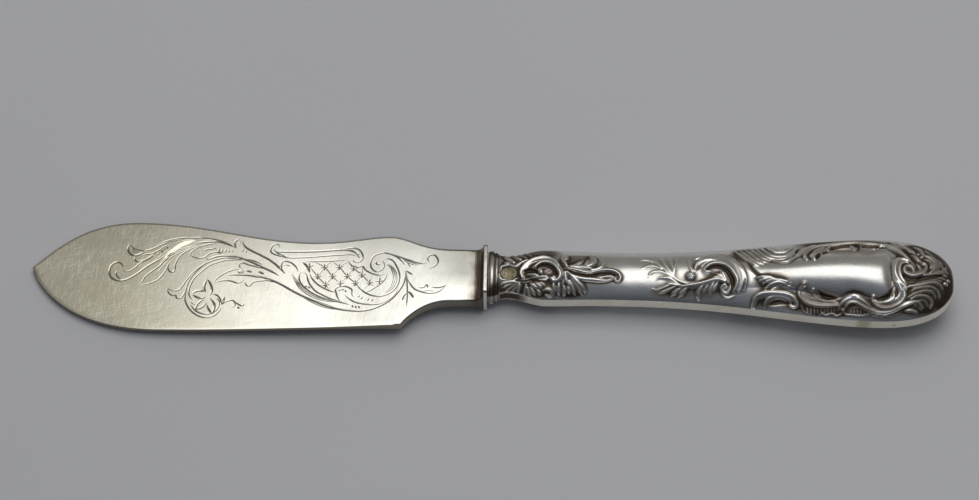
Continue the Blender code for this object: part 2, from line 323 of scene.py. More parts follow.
LEAF_CUTS = (
    (BOLD, (-77.9, 0.2), (-78.0, 1.0), (-78.6, 1.7), (-79.6, 1.8), (-80.5, 1.0), (-80.8, -0.4), (-80.5, -1.7),
     (-79.7, -2.5), (-78.4, -2.8), (-77.0, -2.5), (-75.8, -1.8), (-74.4, -0.7), (-73.1, 0.6), (-71.7, 1.7),
     (-70.3, 2.7), (-68.9, 3.9)),
    (LINE, (-79.0, -0.1), (-79.3, -0.9), (-78.9, -1.9), (-78.1, -2.4)),
    (LINE, (-78.0, 0.0), (-77.5, -0.4), (-76.5, -0.3), (-75.4, 0.5), (-74.6, 1.4), (-73.7, 2.1), (-72.3, 3.0),
     (-71.1, 4.1)),
    (LINE, (-75.9, 3.1), (-75.4, 3.4), (-75.5, 2.5), (-74.7, 2.1), (-73.6, 2.5), (-72.3, 3.2), (-71.1, 4.4)),
    (LINE, (-74.2, 3.9), (-72.9, 4.1), (-71.8, 4.3), (-70.8, 4.9), (-69.6, 5.7)),
    (BOLD, (-76.8, 6.9), (-77.1, 6.1), (-77.1, 5.0), (-76.6, 4.1), (-75.8, 3.7), (-74.8, 3.9), (-73.9, 4.4),
     (-72.6, 4.9)),
    (LINE, (-76.7, 6.9), (-76.4, 6.0), (-75.7, 5.4), (-74.5, 5.1), (-73.4, 5.0), (-72.3, 5.3), (-70.9, 6.0),
     (-69.4, 6.9), (-68.0, 7.6), (-66.6, 7.8), (-65.1, 7.9)),
    (LINE, (-71.2, 6.2), (-69.7, 7.2), (-68.0, 7.9), (-66.4, 8.3), (-64.8, 8.5), (-62.9, 8.5), (-61.3, 8.6),
     (-59.4, 8.4), (-57.5, 8.0), (-55.8, 7.3), (-54.4, 6.5), (-53.6, 5.9)),
    (BOLD, (-62.8, 7.1), (-61.0, 7.4), (-59.2, 7.6), (-57.5, 7.6), (-55.8, 7.1), (-54.3, 6.3)),
    (GOUGE, (-69.2, 2.9), (-67.5, 4.8), (-65.7, 6.5), (-64.0, 7.4), (-62.2, 8.0)),
    (BROAD, (-70.2, 1.2), (-68.8, 2.8), (-67.4, 4.1), (-66.0, 5.0), (-64.8, 5.5), (-63.3, 6.3), (-61.9, 6.7)),
    (LINE, (-74.6, -3.9), (-73.5, -2.9), (-72.9, -1.6), (-71.7, -0.4), (-70.1, 1.0), (-69.1, 2.3),
     (-67.9, 3.7), (-66.9, 4.7)),
    (LINE, (-74.2, -3.9), (-72.7, -3.6), (-71.1, -3.0), (-69.9, -2.1), (-69.0, -0.8), (-68.4, 0.5),
     (-68.0, 1.8), (-67.3, 2.8)),
    (FINE, (-70.7, -0.9), (-69.7, 0.4), (-68.7, 1.9), (-67.6, 3.4)),
    (FINE, (-72.2, -0.9), (-71.0, 0.2), (-69.8, 1.6)),
    (LINE, (-67.9, 1.9), (-68.1, 0.8), (-67.9, 0.0), (-67.4, -0.4), (-66.8, -0.3), (-66.6, 0.4), (-66.6, 1.5),
     (-66.2, 2.8), (-65.6, 3.9), (-64.5, 4.9), (-63.3, 5.7), (-62.0, 6.3), (-61.0, 6.5)),
    (LINE, (-63.7, 3.6), (-63.5, 4.3), (-62.9, 5.3), (-61.8, 6.1), (-60.6, 6.6), (-59.1, 7.0), (-57.7, 7.1)),
    (LINE, (-63.6, 4.0), (-62.6, 3.5), (-61.5, 3.3), (-60.5, 3.5), (-59.8, 4.0), (-59.2, 4.6), (-57.9, 4.9),
     (-56.4, 4.9)),
    (LINE, (-60.9, 5.1), (-59.8, 5.6), (-58.3, 5.8), (-57.8, 5.8)),
    (LINE, (-53.5, 5.9), (-53.9, 6.9), (-53.9, 7.6), (-53.5, 8.2), (-52.9, 8.4)),
    (FINE, (-52.8, 8.0), (-52.7, 7.6), (-53.0, 6.8)),
    (FINE, (-76.4, 5.5), (-75.4, 4.8), (-74.2, 4.6), (-73.2, 4.7)),
    (FINE, (-76.4, 5.0), (-75.6, 4.4), (-74.8, 4.3)),
    (FINE, (-73.4, 2.7), (-72.2, 3.6), (-70.9, 4.7), (-69.6, 5.9), (-68.2, 6.8)),
    (FINE, (-71.6, 2.1), (-70.4, 3.3), (-69.1, 4.6), (-67.8, 5.7)),
    (FINE, (-71.0, 2.0), (-69.8, 3.1), (-68.6, 4.3), (-67.2, 5.3)),
    (FINE, (-67.0, 7.2), (-65.6, 7.6), (-64.0, 8.0), (-62.4, 8.2)),
    (FINE, (-61.0, 7.8), (-59.2, 8.0), (-57.4, 7.8), (-55.8, 7.2)),
)

STEM_CUTS = (
    (BOLD, (-59.8, 3.8), (-59.9, 3.2), (-59.4, 3.0), (-58.6, 3.4), (-57.3, 3.9), (-55.5, 4.0), (-53.6, 3.8),
     (-51.7, 3.2), (-49.9, 2.4), (-48.0, 1.4), (-46.2, 0.5), (-44.8, -0.3), (-43.7, -1.1)),
    (BOLD, (-52.3, 8.1), (-52.1, 7.2), (-51.4, 6.2), (-50.0, 5.3), (-48.0, 4.2), (-46.3, 3.2), (-44.9, 2.1),
     (-43.7, 0.9), (-42.5, -0.5)),
    (LINE, (-47.4, 1.7), (-49.3, 2.7), (-51.2, 3.2), (-53.4, 3.3), (-55.6, 3.5), (-57.6, 3.1), (-59.4, 2.3),
     (-61.0, 1.0), (-62.5, -0.9), (-63.5, -3.0), (-63.9, -5.3), (-63.9, -7.3), (-63.1, -9.2), (-61.9, -10.6),
     (-60.4, -11.5), (-58.8, -11.7), (-57.3, -11.1), (-56.3, -9.9), (-55.7, -8.5)),
    (LINE, (-59.2, 2.6), (-60.8, 1.4), (-62.4, -0.2), (-63.7, -2.1), (-64.6, -3.7), (-65.3, -4.8),
     (-66.4, -5.1), (-67.4, -4.9), (-67.9, -4.2)),
    (LINE, (-67.9, -4.2), (-67.7, -5.4), (-67.0, -6.2), (-66.0, -6.3), (-65.8, -6.9), (-65.1, -7.0),
     (-64.6, -6.7), (-64.1, -5.6), (-63.8, -4.3)),
    (LINE, (-51.9, 2.9), (-53.8, 3.0), (-55.6, 2.9), (-57.4, 2.3), (-59.2, 1.4), (-60.7, -0.1), (-62.1, -1.7),
     (-62.9, -3.4), (-63.2, -5.1), (-63.0, -6.4), (-62.2, -7.5)),
    (LINE, (-62.7, -8.4), (-61.8, -9.7), (-60.5, -10.6), (-59.0, -10.8), (-57.7, -10.4), (-56.7, -9.3),
     (-56.4, -7.9), (-56.9, -7.0), (-57.7, -7.0)),
    (LINE, (-58.3, -5.8), (-57.2, -6.0), (-56.3, -7.0), (-55.9, -8.3)),
)

FLOWER_CUTS = (
    (BOLD, (-59.4, -2.0), (-59.8, -3.1), (-59.9, -4.3), (-59.5, -5.5)),
    (BOLD, (-59.4, -2.0), (-58.7, -3.1), (-58.2, -4.5), (-58.3, -5.5), (-58.8, -6.3)),
    (BOLD, (-62.5, -5.9), (-61.7, -5.2), (-60.6, -5.0), (-59.7, -5.2)),
    (BOLD, (-62.4, -6.0), (-61.5, -6.6), (-60.5, -6.9), (-59.4, -6.6)),
    (BOLD, (-59.4, -7.0), (-60.3, -7.5), (-61.1, -8.4), (-61.4, -9.5), (-60.4, -9.3), (-59.6, -8.6),
     (-59.2, -7.6)),
    (BOLD, (-59.2, -8.1), (-58.9, -9.1), (-58.0, -10.5), (-57.5, -9.7), (-57.4, -8.6), (-57.9, -7.6),
     (-58.6, -6.7)),
    (FINE, (-61.2, -7.5), (-61.7, -8.4), (-62.2, -8.3), (-62.7, -7.8)),
    (LINE, (-55.8, -8.5), (-55.2, -7.8), (-54.5, -7.4), (-53.7, -7.3), (-53.1, -7.7), (-53.0, -8.5),
     (-53.4, -9.0), (-53.9, -8.9)),
    (LINE, (-53.0, -7.7), (-52.1, -8.4), (-51.3, -8.6), (-51.1, -7.8)),
    (BOLD, (-52.5, -8.9), (-52.0, -9.4)),
    (LINE, (-55.9, -8.5), (-55.8, -7.4), (-55.4, -6.3)),
    (LINE, (-55.4, -6.3), (-55.5, -7.5), (-55.8, -8.5)),
)

FORKED_LEAF_CUTS = (
    (LINE, (-57.9, -3.2), (-57.5, -2.1), (-56.6, -1.1), (-55.4, -0.3), (-54.0, 0.4), (-52.5, 0.7),
     (-51.8, 0.8)),
    (LINE, (-57.8, -3.1), (-56.7, -2.5), (-55.3, -2.3), (-54.0, -2.5), (-52.8, -2.9), (-51.8, -2.5),
     (-51.3, -1.8)),
    (LINE, (-51.0, -2.2), (-51.1, -3.0), (-50.6, -3.6), (-50.0, -3.5), (-49.7, -2.9), (-48.7, -2.4),
     (-47.4, -2.2), (-46.5, -2.1), (-45.1, -2.4), (-43.7, -3.0)),
    (BOLD, (-55.3, -1.1), (-53.9, -0.8), (-52.1, -0.8), (-50.6, -0.9), (-48.7, -1.2), (-46.9, -1.5)),
    (LINE, (-51.9, 0.8), (-52.5, 1.1), (-52.6, 1.9), (-52.0, 2.3), (-50.7, 1.8), (-48.9, 1.3), (-47.1, 0.9),
     (-45.7, 0.2)),
    (BOLD, (-53.0, 0.2), (-52.5, 0.0)),
    (BOLD, (-51.1, 0.3), (-49.8, -0.1)),
    (BOLD, (-48.5, 0.2), (-47.1, -0.6)),
)

UNDER_CUTS = (
    (BOLD, (-49.1, -0.8), (-47.3, -1.4), (-45.1, -2.2), (-43.0, -3.3), (-41.1, -4.5), (-39.0, -5.7),
     (-36.9, -6.7), (-35.1, -7.6), (-32.8, -8.5), (-30.5, -9.1), (-28.2, -9.4), (-25.9, -9.5), (-23.6, -9.1),
     (-21.4, -8.1), (-19.4, -6.7), (-17.9, -4.8), (-16.9, -2.9), (-16.5, -1.3), (-16.4, 0.8)),
    (BROAD, (-38.8, -6.0), (-36.7, -7.0), (-34.6, -7.9), (-32.3, -8.7), (-30.0, -9.2)),
    (LINE, (-42.4, -0.5), (-43.4, 0.8), (-43.5, 2.0), (-43.2, 2.8), (-42.3, 2.8), (-41.3, 2.4), (-40.3, 1.4),
     (-39.7, 0.1)),
    (FINE, (-43.3, 1.7), (-42.4, 1.9), (-41.4, 1.5)),
    (BROAD, (-41.2, -0.2), (-40.2, -2.0), (-39.1, -3.6), (-37.2, -5.2), (-35.1, -6.3), (-32.8, -7.0),
     (-30.8, -7.3)),
    (LINE, (-38.4, 0.1), (-39.2, 0.0), (-39.5, -1.0), (-39.3, -2.2), (-38.5, -3.4), (-37.0, -4.8),
     (-35.1, -5.9), (-32.8, -6.8), (-30.5, -7.3), (-28.1, -8.0)),
    (LINE, (-38.4, 0.1), (-37.9, -0.5), (-37.6, -1.7), (-37.0, -3.1), (-35.8, -4.6), (-34.2, -5.6),
     (-32.4, -6.5), (-30.5, -7.0)),
    (LINE, (-27.3, -6.1), (-27.8, -5.6), (-27.9, -4.8), (-27.9, -4.2), (-28.9, -3.5), (-30.0, -3.3),
     (-30.9, -3.5), (-31.5, -4.1), (-31.3, -5.0), (-31.0, -6.0), (-30.5, -6.9), (-30.0, -7.4)),
    (LINE, (-31.1, -4.4), (-30.3, -4.2), (-29.5, -4.2)),
    (LINE, (-29.5, -5.5), (-28.3, -6.6), (-26.9, -7.4), (-25.0, -7.8), (-23.2, -7.9), (-21.4, -7.6),
     (-19.7, -6.6), (-18.5, -5.3), (-17.7, -3.4)),
)

TRELLIS_FRAME_CUTS = (
    (LINE, (-39.0, 2.7), (-37.2, 2.9), (-34.6, 3.0), (-31.9, 3.2), (-29.0, 3.4)),
    (BOLD, (-39.0, 2.7), (-38.0, 1.8), (-37.4, 0.6), (-37.2, -0.1)),
    (LINE, (-37.2, -0.1), (-36.7, -1.4), (-35.3, -3.0), (-33.2, -4.3), (-31.3, -5.0)),
    (LINE, (-29.0, 3.4), (-28.7, 2.5), (-27.8, 1.8), (-26.7, 1.6), (-25.8, 1.8), (-25.2, 0.9), (-23.9, 0.0),
     (-22.1, -0.5), (-20.4, 0.0)),
    (LINE, (-20.4, 0.0), (-20.7, -1.2), (-21.6, -2.5), (-22.9, -3.6), (-24.1, -4.5), (-25.2, -5.0)),
)

VOLUTE_CUTS = (
    (LINE, (-22.8, 3.2), (-22.9, 2.5), (-22.4, 2.2), (-21.8, 2.5)),
    (LINE, (-21.7, 3.4), (-21.1, 2.3), (-21.3, 1.3), (-21.9, 0.7), (-22.8, 0.4), (-23.7, 1.1), (-24.1, 2.4),
     (-23.8, 3.8), (-23.0, 4.7), (-21.5, 5.2), (-20.0, 4.9), (-18.5, 4.2), (-17.3, 3.0), (-16.5, 1.9)),
    (LINE, (-21.8, 3.3), (-21.3, 3.6), (-20.4, 3.7), (-19.2, 3.1), (-18.3, 1.5), (-17.7, -0.3), (-17.8, -2.2),
     (-18.5, -3.9), (-19.7, -5.1), (-21.5, -5.8), (-23.3, -5.7), (-24.9, -5.0), (-26.1, -4.0), (-27.0, -3.4)),
    (BROAD, (-21.1, 2.2), (-20.3, 2.1), (-19.4, 1.3), (-18.8, 0.0), (-18.7, -1.6), (-19.1, -3.2),
     (-19.9, -4.4), (-21.3, -5.3)),
    (LINE, (-20.0, 5.0), (-18.4, 4.4), (-16.8, 3.7), (-15.1, 3.0), (-13.5, 2.5), (-12.1, 2.4), (-11.5, 2.6)),
    (BROAD, (-17.5, 4.0), (-16.1, 3.2), (-14.4, 2.4), (-13.1, 2.3)),
    (FINE, (-17.5, 4.0), (-16.3, 3.0), (-15.3, 1.3)),
    (LINE, (-11.2, 2.6), (-11.7, 3.5), (-11.4, 4.4), (-10.6, 4.7), (-9.8, 4.2), (-9.4, 3.1), (-9.7, 2.2),
     (-10.5, 1.5), (-11.8, 0.8)),
    (LINE, (-16.3, 0.6), (-15.5, 0.0), (-14.8, -0.5)),
    (LINE, (-16.0, -1.3), (-15.4, -2.6), (-14.4, -4.0), (-13.0, -4.7), (-11.2, -5.1), (-9.4, -4.8),
     (-8.1, -3.8), (-7.4, -2.9)),
    (FINE, (-12.4, -4.5), (-11.3, -4.4), (-10.1, -4.6)),
    (LINE, (-13.7, -3.7), (-12.8, -3.7), (-12.2, -3.5), (-11.9, -3.0), (-11.5, -3.3), (-11.6, -3.9)),
    (BOLD, (-10.8, -3.5), (-9.2, -3.6), (-8.1, -3.3), (-7.4, -2.9)),
    (LINE, (-16.4, 0.8), (-16.1, -1.5), (-15.9, -4.5), (-15.9, -7.2), (-15.9, -8.6)),
    (BOLD, (-16.0, -5.0), (-16.6, -5.7), (-16.9, -6.9)),
    (BOLD, (-15.7, -4.6), (-15.0, -5.4), (-14.4, -6.4)),
)

BAR_CUTS = (
    (LINE, (-44.0, 6.1), (-44.2, 6.9), (-44.8, 7.2), (-45.6, 6.9), (-46.0, 6.0), (-45.9, 5.1), (-45.0, 4.5),
     (-43.6, 4.1), (-42.2, 3.8), (-40.2, 3.8), (-37.4, 4.0), (-34.7, 4.3), (-32.0, 4.6), (-29.4, 4.8),
     (-28.1, 4.7), (-27.3, 4.3)),
    (BOLD, (-45.3, 6.2), (-45.1, 5.5), (-44.2, 5.3), (-41.4, 5.3), (-38.0, 5.4), (-34.8, 5.6), (-32.0, 5.9),
     (-29.7, 6.0), (-28.2, 5.7), (-27.2, 4.9), (-27.0, 4.2)),
    (LINE, (-45.1, 5.4), (-44.0, 4.6), (-42.5, 3.9)),
    (LINE, (-31.3, 6.1), (-29.7, 6.3), (-28.1, 6.5), (-26.7, 6.0), (-25.9, 4.7), (-25.9, 3.6), (-26.6, 2.9),
     (-27.5, 2.8), (-27.9, 3.3), (-27.7, 3.8)),
    (FINE, (-27.2, 4.9), (-26.8, 4.2), (-26.4, 3.8)),
)

# Short cuts, from one point to the other
TICKS = (
    ((-70.4, 4.6), (-70.6, 4.0)), ((-69.9, 5.1), (-69.5, 4.6)), ((-69.3, 5.5), (-69.1, 5.2)),
    ((-68.7, 6.0), (-68.5, 5.6)), ((-57.3, 5.7), (-57.4, 4.8)), ((-56.5, 5.7), (-56.7, 4.9)),
    ((-55.7, 5.7), (-55.9, 5.0)), ((-55.0, 5.5), (-55.2, 5.0)), ((-54.3, 5.4), (-54.4, 5.0)),
    ((-52.0, 5.8), (-52.2, 5.2)), ((-51.3, 5.4), (-51.4, 5.0)), ((-38.3, -3.4), (-37.7, -3.5)),
    ((-37.5, -3.6), (-37.0, -3.9)), ((-29.3, -4.3), (-29.2, -4.8)), ((-26.5, -6.1), (-26.2, -5.6)),
    ((-25.8, -6.5), (-25.6, -6.0)), ((-24.4, -6.9), (-24.2, -6.4)), ((-23.5, -7.0), (-23.3, -6.5)),
    ((-27.7, -8.1), (-27.5, -8.6)), ((-27.0, -8.3), (-26.8, -8.8)), ((-26.3, -8.3), (-26.1, -8.8)),
)

# Stars where the lines of the trellis cross
STARS = (
    (-37.4, 1.7), (-34.1, 1.5), (-30.9, 1.6), (-27.8, 1.3), (-35.5, -0.9), (-32.3, -0.8), (-29.1, -0.7),
    (-25.9, -0.4), (-33.7, -3.0), (-30.5, -2.6), (-27.3, -2.5), (-24.2, -2.4), (-22.0, -2.0),
)
STAR_REACH = 0.95
STAR_TURNS = (0.1, 1.6)
STAR_WIDTH = 0.42
TRELLIS_WIDTH = FINE
TRELLIS_LINES = (
    ((-37.4, 1.7), (-35.5, -0.9), (-33.7, -3.0), (-32.8, -4.4)),
    ((-36.6, 2.9), (-34.1, 1.5), (-32.3, -0.8), (-30.5, -2.6)),
    ((-32.6, 3.1), (-30.9, 1.6), (-29.1, -0.7), (-27.3, -2.5), (-25.6, -4.4)),
    ((-28.9, 2.9), (-27.8, 1.3), (-25.9, -0.4), (-24.2, -2.4), (-23.0, -3.5)),
    ((-34.1, 1.5), (-35.5, -0.9), (-36.4, -1.7)),
    ((-32.6, 3.1), (-34.1, 1.5)),
    ((-30.9, 1.6), (-32.3, -0.8), (-33.7, -3.0), (-34.6, -3.5)),
    ((-29.0, 3.2), (-30.9, 1.6)),
    ((-27.8, 1.3), (-29.1, -0.7), (-30.5, -2.6)),
    ((-25.9, -0.4), (-27.3, -2.5), (-28.2, -3.6)),
    ((-25.9, 1.6), (-25.9, -0.4)),
    ((-23.8, -0.1), (-24.2, -2.4), (-25.6, -4.4)),
    ((-22.0, -0.5), (-22.0, -2.0), (-23.0, -3.5)),
)


def star_cuts(middle):
    """Two short cuts that cross at the middle, between the lines of the trellis."""
    cuts = []
    for turn in STAR_TURNS:
        reach = STAR_REACH * np.array((math.cos(turn), math.sin(turn)))
        cuts.append((STAR_WIDTH, tuple(np.array(middle) - reach), tuple(np.array(middle) + reach)))
    return cuts


def stretched(start, end):
    """A short cut made a little longer at both ends."""
    middle = (np.array(start) + end) / 2
    return [tuple(middle + TICK_STRETCH * (np.array(point) - middle)) for point in (start, end)]


def engraving():
    """Every cut of the blade's face: its width, how its bottom leans and its smooth centre line."""
    groups = (
        LEAF_CUTS, STEM_CUTS, FLOWER_CUTS, FORKED_LEAF_CUTS, UNDER_CUTS, TRELLIS_FRAME_CUTS, VOLUTE_CUTS,
        BAR_CUTS,
    )
    cuts = [cut for group in groups for cut in group]
    cuts += [(STAR_WIDTH, *stretched(*tick)) for tick in TICKS]
    cuts += [(TRELLIS_WIDTH, *line) for line in TRELLIS_LINES]
    for star in STARS:
        cuts += star_cuts(star)
    made = []
    for width, *points in cuts:
        line = smooth_line(points, CUT_STEP) + (BLADE_ROOT, 0.0)
        if width == BROAD:
            spread = side_of_line(line) * np.sin(math.pi * along_line(line))[:, None]
            made += [(FINE, 0.0, line + shift * spread) for shift in SHADE_SHIFTS]
        else:
            made.append((width, FACET_LEAN if width == GOUGE else 0.0, line))
    return made


def cut_half_widths(width, line):
    """Half the cut's width along its line, running out to nothing at both ends."""
    along = along_line(line)
    length = np.hypot(*np.diff(line, axis=0).T).sum()
    taper = min(CUT_TAPER, CUT_RUN_OUT / length)
    return width / 2 * np.clip(np.minimum(along, 1 - along) / taper, 0, 1) ** CUT_FULLNESS


def cut_depths(points, cuts):
    """How deep the cuts go at each point of the face, and how near each point is to the bottom of a cut."""
    depth = np.zeros(len(points))
    bottom = np.zeros(len(points))
    for width, lean, line in cuts:
        half = cut_half_widths(width, line)
        low = line.min(axis=0) - width
        high = line.max(axis=0) + width
        near = np.nonzero(((points > low) & (points < high)).all(axis=1))[0]
        start, end = line[:-1], line[1:]
        run = end - start
        offset = points[near][:, None, :] - start
        t = np.clip((offset * run).sum(axis=2) / (run * run).sum(axis=1), 0, 1)
        gap = np.linalg.norm(offset - t[:, :, None] * run, axis=2)
        to_left = gap * np.sign(run[:, 0] * offset[:, :, 1] - run[:, 1] * offset[:, :, 0])
        reach = np.maximum(half[:-1] + (half[1:] - half[:-1]) * t, NARROWEST_CUT)
        profile = np.minimum((to_left / reach + 1) / (1 + lean), (1 - to_left / reach) / (1 - lean))
        slope = FINE_SLOPE if width == FINE else CUT_SLOPE
        depth[near] = np.maximum(depth[near], slope * (reach * profile).max(axis=1))
        wide_enough = np.clip((reach - DARK_FROM) / DARK_RUN, 0, 1)
        share = np.clip(profile, 0, 1) * wide_enough * (1 - FACET_PALENESS * abs(lean))
        share *= FINE_DARKNESS if width == FINE else 1.0
        bottom[near] = np.maximum(bottom[near], share.max(axis=1))
    return depth, bottom


# Blade


def bezier(start, start_reach, end_reach, end):
    """Points of one span of the outline, without its last."""
    a, d = np.array(start), np.array(end)
    b, c = a + start_reach, d + end_reach
    count = max(2, round(np.linalg.norm(d - a) / OUTLINE_STEP))
    t = (np.arange(count) / count)[:, None]
    return a * (1 - t) ** 3 + 3 * b * t * (1 - t) ** 2 + 3 * c * t**2 * (1 - t) + d * t**3


def blade_outline():
    """The outline from the root along the back, round the tip and along the edge to the root again."""
    crest_to_tip = BLADE_LENGTH - BACK_CREST_AT
    belly_to_tip = BLADE_LENGTH - BELLY_AT
    neck_to_knob = BACK_KNOB_AT - NECK_AT
    knob_to_hollow = BACK_HOLLOW_AT - BACK_KNOB_AT
    hollow_to_crest = BACK_CREST_AT - BACK_HOLLOW_AT
    heel_to_neck = HEEL_AT - NECK_AT
    belly_to_heel = BELLY_AT - HEEL_AT
    none = (0.0, 0.0)
    # Each knot: its place, then how far the curve's handles reach before it and after it
    knots = (
        ((ROOT_REACH, ROOT_HALF_WIDTH), none, (-0.3 * NECK_AT, 0.1)),
        ((-NECK_AT, NECK_FAR), (0.4 * NECK_AT, 0.0), (-0.5 * neck_to_knob, 0.0)),
        ((-BACK_KNOB_AT, BACK_KNOB_HEIGHT), (0.3 * neck_to_knob, 0.0), (-0.3 * knob_to_hollow, 0.0)),
        ((-BACK_HOLLOW_AT, BACK_HOLLOW_HEIGHT), (0.45 * knob_to_hollow, 0.0), (-0.35 * hollow_to_crest, 0.0)),
        ((-BACK_CREST_AT, BACK_CREST_HEIGHT), (0.4 * hollow_to_crest, 0.0), (-0.5 * crest_to_tip, 0.0)),
        (
            (-BLADE_LENGTH, TIP_HEIGHT),
            (0.26 * crest_to_tip, BACK_CREST_HEIGHT / 2),
            (0.1 * belly_to_tip, -BELLY_DROP / 2),
        ),
        ((-BELLY_AT, -BELLY_DROP), (-0.6 * belly_to_tip, 0.0), (0.3 * belly_to_heel, 0.0)),
        (
            (-HEEL_AT, -HEEL_DROP),
            (-0.3 * belly_to_heel, 0.3 * (HEEL_DROP - BELLY_DROP)),
            (0.2 * heel_to_neck, 0.5 * (HEEL_DROP - NECK_NEAR)),
        ),
        ((-NECK_AT, -NECK_NEAR), (-0.45 * heel_to_neck, 0.0), (0.5 * NECK_AT, 0.0)),
        ((ROOT_REACH, -ROOT_NEAR), (-0.3 * NECK_AT, 0.25), none),
    )
    spans = [
        bezier(place0, after, before, place1)
        for (place0, _, after), (place1, before, _) in zip(knots, knots[1:])
    ]
    spans.append(np.array([knots[-1][0]]))
    return np.vstack(spans) + (BLADE_ROOT, 0.0)


def blade_half(x, y):
    """Half the blade's thickness at x and y."""
    to_neck = ease((x - BLADE_ROOT + THICKER_FROM) / (THICKER_FROM - NECK_AT))
    plain = (BLADE_THICKNESS + (NECK_THICKNESS - BLADE_THICKNESS) * to_neck) / 2
    to_root = np.clip((x - ROOT_END + FLARE_LENGTH) / FLARE_LENGTH, 0, 1)
    flare = (ROOT_THICKNESS / 2 - plain) * to_root**FLARE_POWER
    return plain + flare - CROWN * ((y - CROWN_MIDDLE) / CROWN_HALF) ** 2


def edge_share(outline):
    """1 along the cutting edge, 0 on the back and at the neck, and between the two where they meet."""
    x, y = outline.T
    from_heel = np.clip((BLADE_ROOT - EDGE_FROM - x) / EDGE_RUN, 0, 1)
    below_tip = np.clip((TIP_HEIGHT - y) / TIP_RUN, 0, 1)
    return from_heel * below_tip


def rim_rings(outline):
    """Rings from the blade's side up to its face: each a flat line and how far it lies below the face."""
    inward = side_of_line(outline)
    inward[0] = (0, -1)
    inward[-1] = (0, 1)
    share = edge_share(outline)[:, None]
    rings = []
    for back, edge in zip(BACK_RIM, EDGE_RIM):
        inset, drop = ((1 - share) * np.array(back) + share * np.array(edge)).T
        rings.append((outline + inward * inset[:, None], drop))
    return rings


def face_grid(border):
    """Points spread evenly inside the border."""
    low, high = border.min(axis=0), border.max(axis=0)
    x, y = np.meshgrid(np.arange(low[0], high[0], FACE_STEP), np.arange(low[1], high[1], FACE_STEP))
    points = np.column_stack([x.ravel(), y.ravel()])
    (x0, y0), (x1, y1) = border.T, np.roll(border, -1, axis=0).T
    rise = np.where(y1 == y0, TINY, y1 - y0)
    crossed = (y0 > points[:, 1:]) != (y1 > points[:, 1:])
    left = points[:, :1] < x0 + (points[:, 1:] - y0) / rise * (x1 - x0)
    return points[(crossed & left).sum(axis=1) % 2 == 1]


def face_mesh(border, cuts):
    """Points and triangles of one face of the blade, inside its border and divided along the cuts."""
    points = [border]
    edges = [(i, (i + 1) % len(border)) for i in range(len(border))]
    total = len(border)

    def add(line):
        nonlocal total
        points.append(line)
        edges.extend((total + i, total + i + 1) for i in range(len(line) - 1))
        total += len(line)

    at_root = border[border[:, 0] > ROOT_END - ROOT_RUN]
    far, near = at_root[at_root[:, 1] > 0][::-1], at_root[at_root[:, 1] < 0]
    for step in range(1, FLARE_STEPS):
        x = ROOT_END - FLARE_LENGTH * (1 - step / FLARE_STEPS) ** FLARE_CROWDING
        top = np.interp(x, *far.T) - FLARE_CLEAR
        low = np.interp(x, *near.T) + FLARE_CLEAR
        add(np.array([(x, top), (x, 0.0), (x, low)]))
    for width, lean, line in cuts:
        half = cut_half_widths(width, line)[:, None]
        side = side_of_line(line)
        add(line + side * half * lean)
        add(line + side * half)
        add(line - side * half)
    grid = face_grid(border)
    lines = np.vstack(points)
    gaps = [np.hypot(*(lines - point).T).min() for point in grid]
    points.append(grid[np.array(gaps) > FACE_CLEAR])
    flat = np.vstack(points)
    made = delaunay_2d_cdt([Vector(p) for p in flat], edges, [], INSIDE_BORDER, FACE_MERGE)
    return np.array([tuple(v) for v in made[0]]), [list(face) for face in made[2]]


def blade_mesh_data():
    """Points and faces of the blade: rings round the rim, the engraved face and the plain back."""
    outline = blade_outline()
    rings = rim_rings(outline)
    verts, faces = [], []
    count = len(outline)
    levels = [(line, blade_half(*line.T) - drop) for line, drop in rings]
    strips = [(line, -z) for line, z in reversed(levels)] + levels
    for line, z in strips:
        verts.append(np.column_stack([line, z]))
    for ring in range(len(strips) - 1):
        for i in range(count - 1):
            a = ring * count + i
            faces.append((a, a + 1, a + 1 + count, a + count))
    border = rings[-1][0]
    for cuts, up in ((engraving(), 1), ([], -1)):
        flat, triangles = face_mesh(border, cuts)
        start = sum(len(block) for block in verts)
        height = up * (blade_half(*flat.T) - cut_depths(flat, cuts)[0])
        verts.append(np.column_stack([flat, height]))
        faces += [[start + i for i in triangle] for triangle in triangles]
    return np.vstack(verts), faces


def tapered_bar(name, room):
    """A bar in the shape of the tang, wider all round by room."""
    width, end_width = np.array(TANG_WIDTHS) + 2 * room
    depth, end_depth = np.array(TANG_DEPTHS) + 2 * room
    start, end = TANG_SPAN[0] - room, TANG_SPAN[1] + room
    piece = new_block(name, (start, end), width, depth)
    middle = place(((start + end) / 2, 0, 0))[0]
    edit_edges(piece, lambda first, last: min(first.x, last.x) > middle)
    taper = (1, end_width / width, end_depth / depth)
    bpy.ops.transform.resize(value=taper, center_override=place((end, 0, 0)))
    bpy.ops.object.mode_set(mode="OBJECT")
    return piece


def cut_tang_room(piece):
    """Cuts the room for the tang out of a piece."""
    cutter = tapered_bar("tang room", TANG_ROOM)
    select_only(piece)
    cut = piece.modifiers.new("tang room", "BOOLEAN")
    cut.object = cutter
    cut.operation = "DIFFERENCE"
    bpy.ops.object.modifier_apply(modifier=cut.name)
    bpy.data.objects.remove(cutter)


def shade_blade(piece, on_face):
    """Smooth shading, with sharp edges along the cuts and round the blade's corners."""
    select_only(piece)
    bpy.ops.object.shade_smooth()
    mesh = bmesh.new()
    mesh.from_mesh(piece.data)
    for edge in mesh.edges:
        angle = edge.calc_face_angle(0.0)
        cut = angle > SHARP_ANGLE and all(on_face[vert.index] for vert in edge.verts)
        edge.smooth = not (cut or angle > CORNER_ANGLE)
    mesh.to_mesh(piece.data)
    mesh.free()


